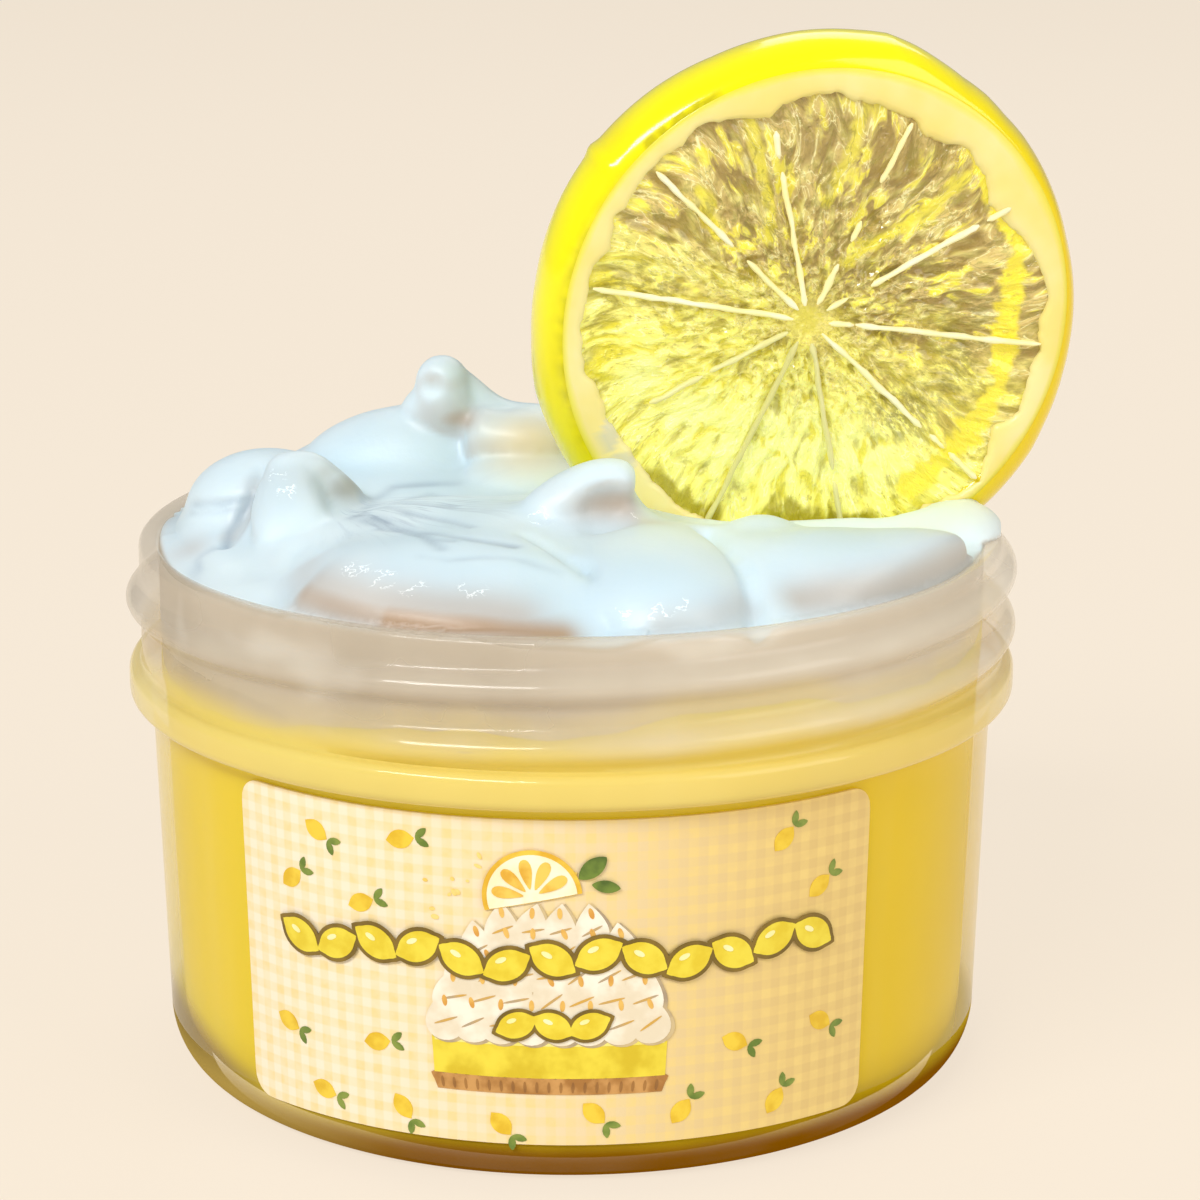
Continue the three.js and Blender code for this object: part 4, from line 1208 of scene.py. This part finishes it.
# piled dollops, their shaded sides, swirls and toasted tips; each row: count, width, height, size
piles = [(8, 19.0, -3.4, 1.95), (7, 17.6, -1.0, 2.0), (7, 15.6, 1.4, 1.95), (6, 12.6, 3.7, 1.85),
         (4, 8.0, 5.8, 1.7)]
dollops, shadows, swirls, tips = [], [], [], []
for count, width, y, size in piles:
    for k in range(count):
        x = -width / 2 + width * k / (count - 1) + draw.uniform(-0.3, 0.3)
        turn = draw.uniform(-14, 14)
        shadows.append(flatShape(32, dropRule(size, size * 1.35), (x + 0.26, y - 0.12), turn))
        dollops.append(flatShape(32, dropRule(size * 0.93, size * 1.3), (x, y), turn))
        swirls.append(flatShape(16, ovalRule(size * 0.62, 0.12), (x + 0.1, y - size * 0.28), turn + 24))
        tips.append(flatShape(14, ovalRule(0.24, 0.55), (x + 0.02, y + size * 0.72), turn + 10))
layPrint("shadows", shadows, 0.09, "shadow", "a8967c", "d2bc8c", 350)
layPrint("dollops", dollops, 0.12, "dollop", "fbf4e2", "e9dcc0", 350)
layPrint("swirls", swirls, 0.15, "swirl", "b5a284", "d6a848", 350)
layPrint("tips", tips, 0.15, "tip", "d89a3c", "ecc060", 350)

# half a lemon wheel at the top, with two leaves and a spatter of drops
wheel = {"at": (-1.4, 8.6), "radius": 4.5, "peel": 0.45, "tilt": 12.0, "wedgeReach": 2.2}
half = flatShape(48, halfDiscRule(wheel["radius"]), wheel["at"], wheel["tilt"])
layPrint("wheel", [half], 0.17, "wheel", "e2b022", "f0cc44")
half = flatShape(48, halfDiscRule(wheel["radius"] - wheel["peel"]), wheel["at"], wheel["tilt"])
layPrint("pith", [half], 0.20, "ring", "fbf0c4", "fdf6dc")
wedges = []
for middle in range(20, 161, 35):
    turned = math.radians(middle + wheel["tilt"])
    spot = (wheel["at"][0] + wheel["wedgeReach"] * math.cos(turned),
            wheel["at"][1] + wheel["wedgeReach"] * math.sin(turned))
    wedges.append(flatShape(20, lambda t: (1.45 * math.cos(t), (0.5 + 0.28 * math.cos(t)) * math.sin(t)),
                            spot, middle + wheel["tilt"]))
layPrint("wedges", wedges, 0.23, "wedge", "e2ab2e", "f2cf5a")
bigLeaves = [flatShape(24, leafRule(1.6, 0.85), (4.0, 11.4), 40),
             flatShape(24, leafRule(1.3, 0.6), (5.2, 9.6), -10)]
layPrint("bigleaves", bigLeaves, 0.20, "bigLeaf", "3f5a14", "6d862c")
drops = []
for k in range(16):
    spread, reach = math.radians(draw.uniform(-15, 195)), draw.uniform(5.4, 8.2)
    x = wheel["at"][0] + 1.35 * reach * math.cos(spread)
    y = min(wheel["at"][1] - 2 + 0.8 * reach * math.sin(spread), 14.6)
    oval = ovalRule(draw.uniform(0.14, 0.42), draw.uniform(0.12, 0.26))
    drops.append(flatShape(10, oval, (x, y), draw.uniform(0, 180)))
layPrint("drops", drops, 0.04, "drop", "ecc44a", "f4dc84")

# a garland of plump lemons, outlined, across the middle, and a short one under it
garland = [(x, 2.5 + 0.6 * math.sin(x * 0.35), 26 if k % 2 else -30, 1.0)
           for k, x in enumerate(np.linspace(-24.4, 25.2, 13))]
garland += [(x, -3.9, -24 if k % 2 else 22, 0.86) for k, x in enumerate((-2.9, 0.4, 3.7))]
outlines, plump, shine = [], [], []
for x, y, turn, size in garland:
    outlines.append(flatShape(32, lemonRule(2.35, 1.85), (x, y), turn, size))
    plump.append(flatShape(32, lemonRule(1.95, 1.45), (x, y), turn, size))
    shine.append(flatShape(14, ovalRule(0.55, 0.26), (x - 0.5 * size, y + 0.5 * size), turn, size))
layPrint("outlines", outlines, 0.26, "outline", "6f5810", "84691a")
layPrint("garland", plump, 0.30, "plump", "e4ca22", "efdc3e")
layPrint("shine", shine, 0.34, "shine", "f8f0a0", "fbf6c0")
print("sticker made")


# floor, light and camera

def softLight(name, at, size, power, colour=(1, 1, 1)):
    bpy.ops.object.light_add(type="AREA", location=at)
    lamp = bpy.context.object
    lamp.name = name
    lamp.data.shape = "RECTANGLE"
    lamp.data.size, lamp.data.size_y = size
    lamp.data.energy = power
    lamp.data.color = colour
    toJar = Vector((0, 0, 0.045)) - Vector(at)
    lamp.rotation_euler = toJar.to_track_quat("-Z", "Y").to_euler()


floor = newPrimitive("floor", bpy.ops.mesh.primitive_plane_add, size=8)
floorLook = {"Roughness": 0.9, "Base Color": tint("69635b"), "Specular IOR Level": 0.1,
             "Emission Color": tint("f4e7d5"), "Emission Strength": 0.88}
floor.data.materials.append(newMaterial("paleFloor", floorLook))

softLight("key", (-0.4, -0.62, 0.68), (0.6, 0.16), 6.6)
softLight("fill", (0.7, -0.5, 0.45), (0.6, 0.6), 3.1, (1, 0.97, 0.92))
softLight("back", (0.2, 0.7, 0.7), (0.6, 0.4), 1.5)
world = bpy.data.worlds.new("studio")
world.use_nodes = True
world.node_tree.nodes["Background"].inputs[0].default_value = (1, 0.97, 0.93, 1)
world.node_tree.nodes["Background"].inputs[1].default_value = 0.34
bpy.context.scene.world = world
bpy.context.scene.view_settings.view_transform = "Standard"

cameraSize = {"away": 350.0, "rise": 17.41, "aim": 30.0, "pitch": 14.98, "yaw": 0.49, "lens": 103.06}
rise = math.radians(cameraSize["rise"])
back, up = cameraSize["away"] * math.cos(rise), cameraSize["aim"] + cameraSize["away"] * math.sin(rise)
turn = (math.radians(90 - cameraSize["pitch"]), 0, math.radians(-cameraSize["yaw"]))
bpy.ops.object.camera_add(location=(0, -back * mm, up * mm), rotation=turn)
camera = bpy.context.object
camera.data.lens = cameraSize["lens"]
camera.data.sensor_width = 36
camera.data.sensor_fit = "HORIZONTAL"
camera.data.clip_start = 0.01
bpy.context.scene.camera = camera
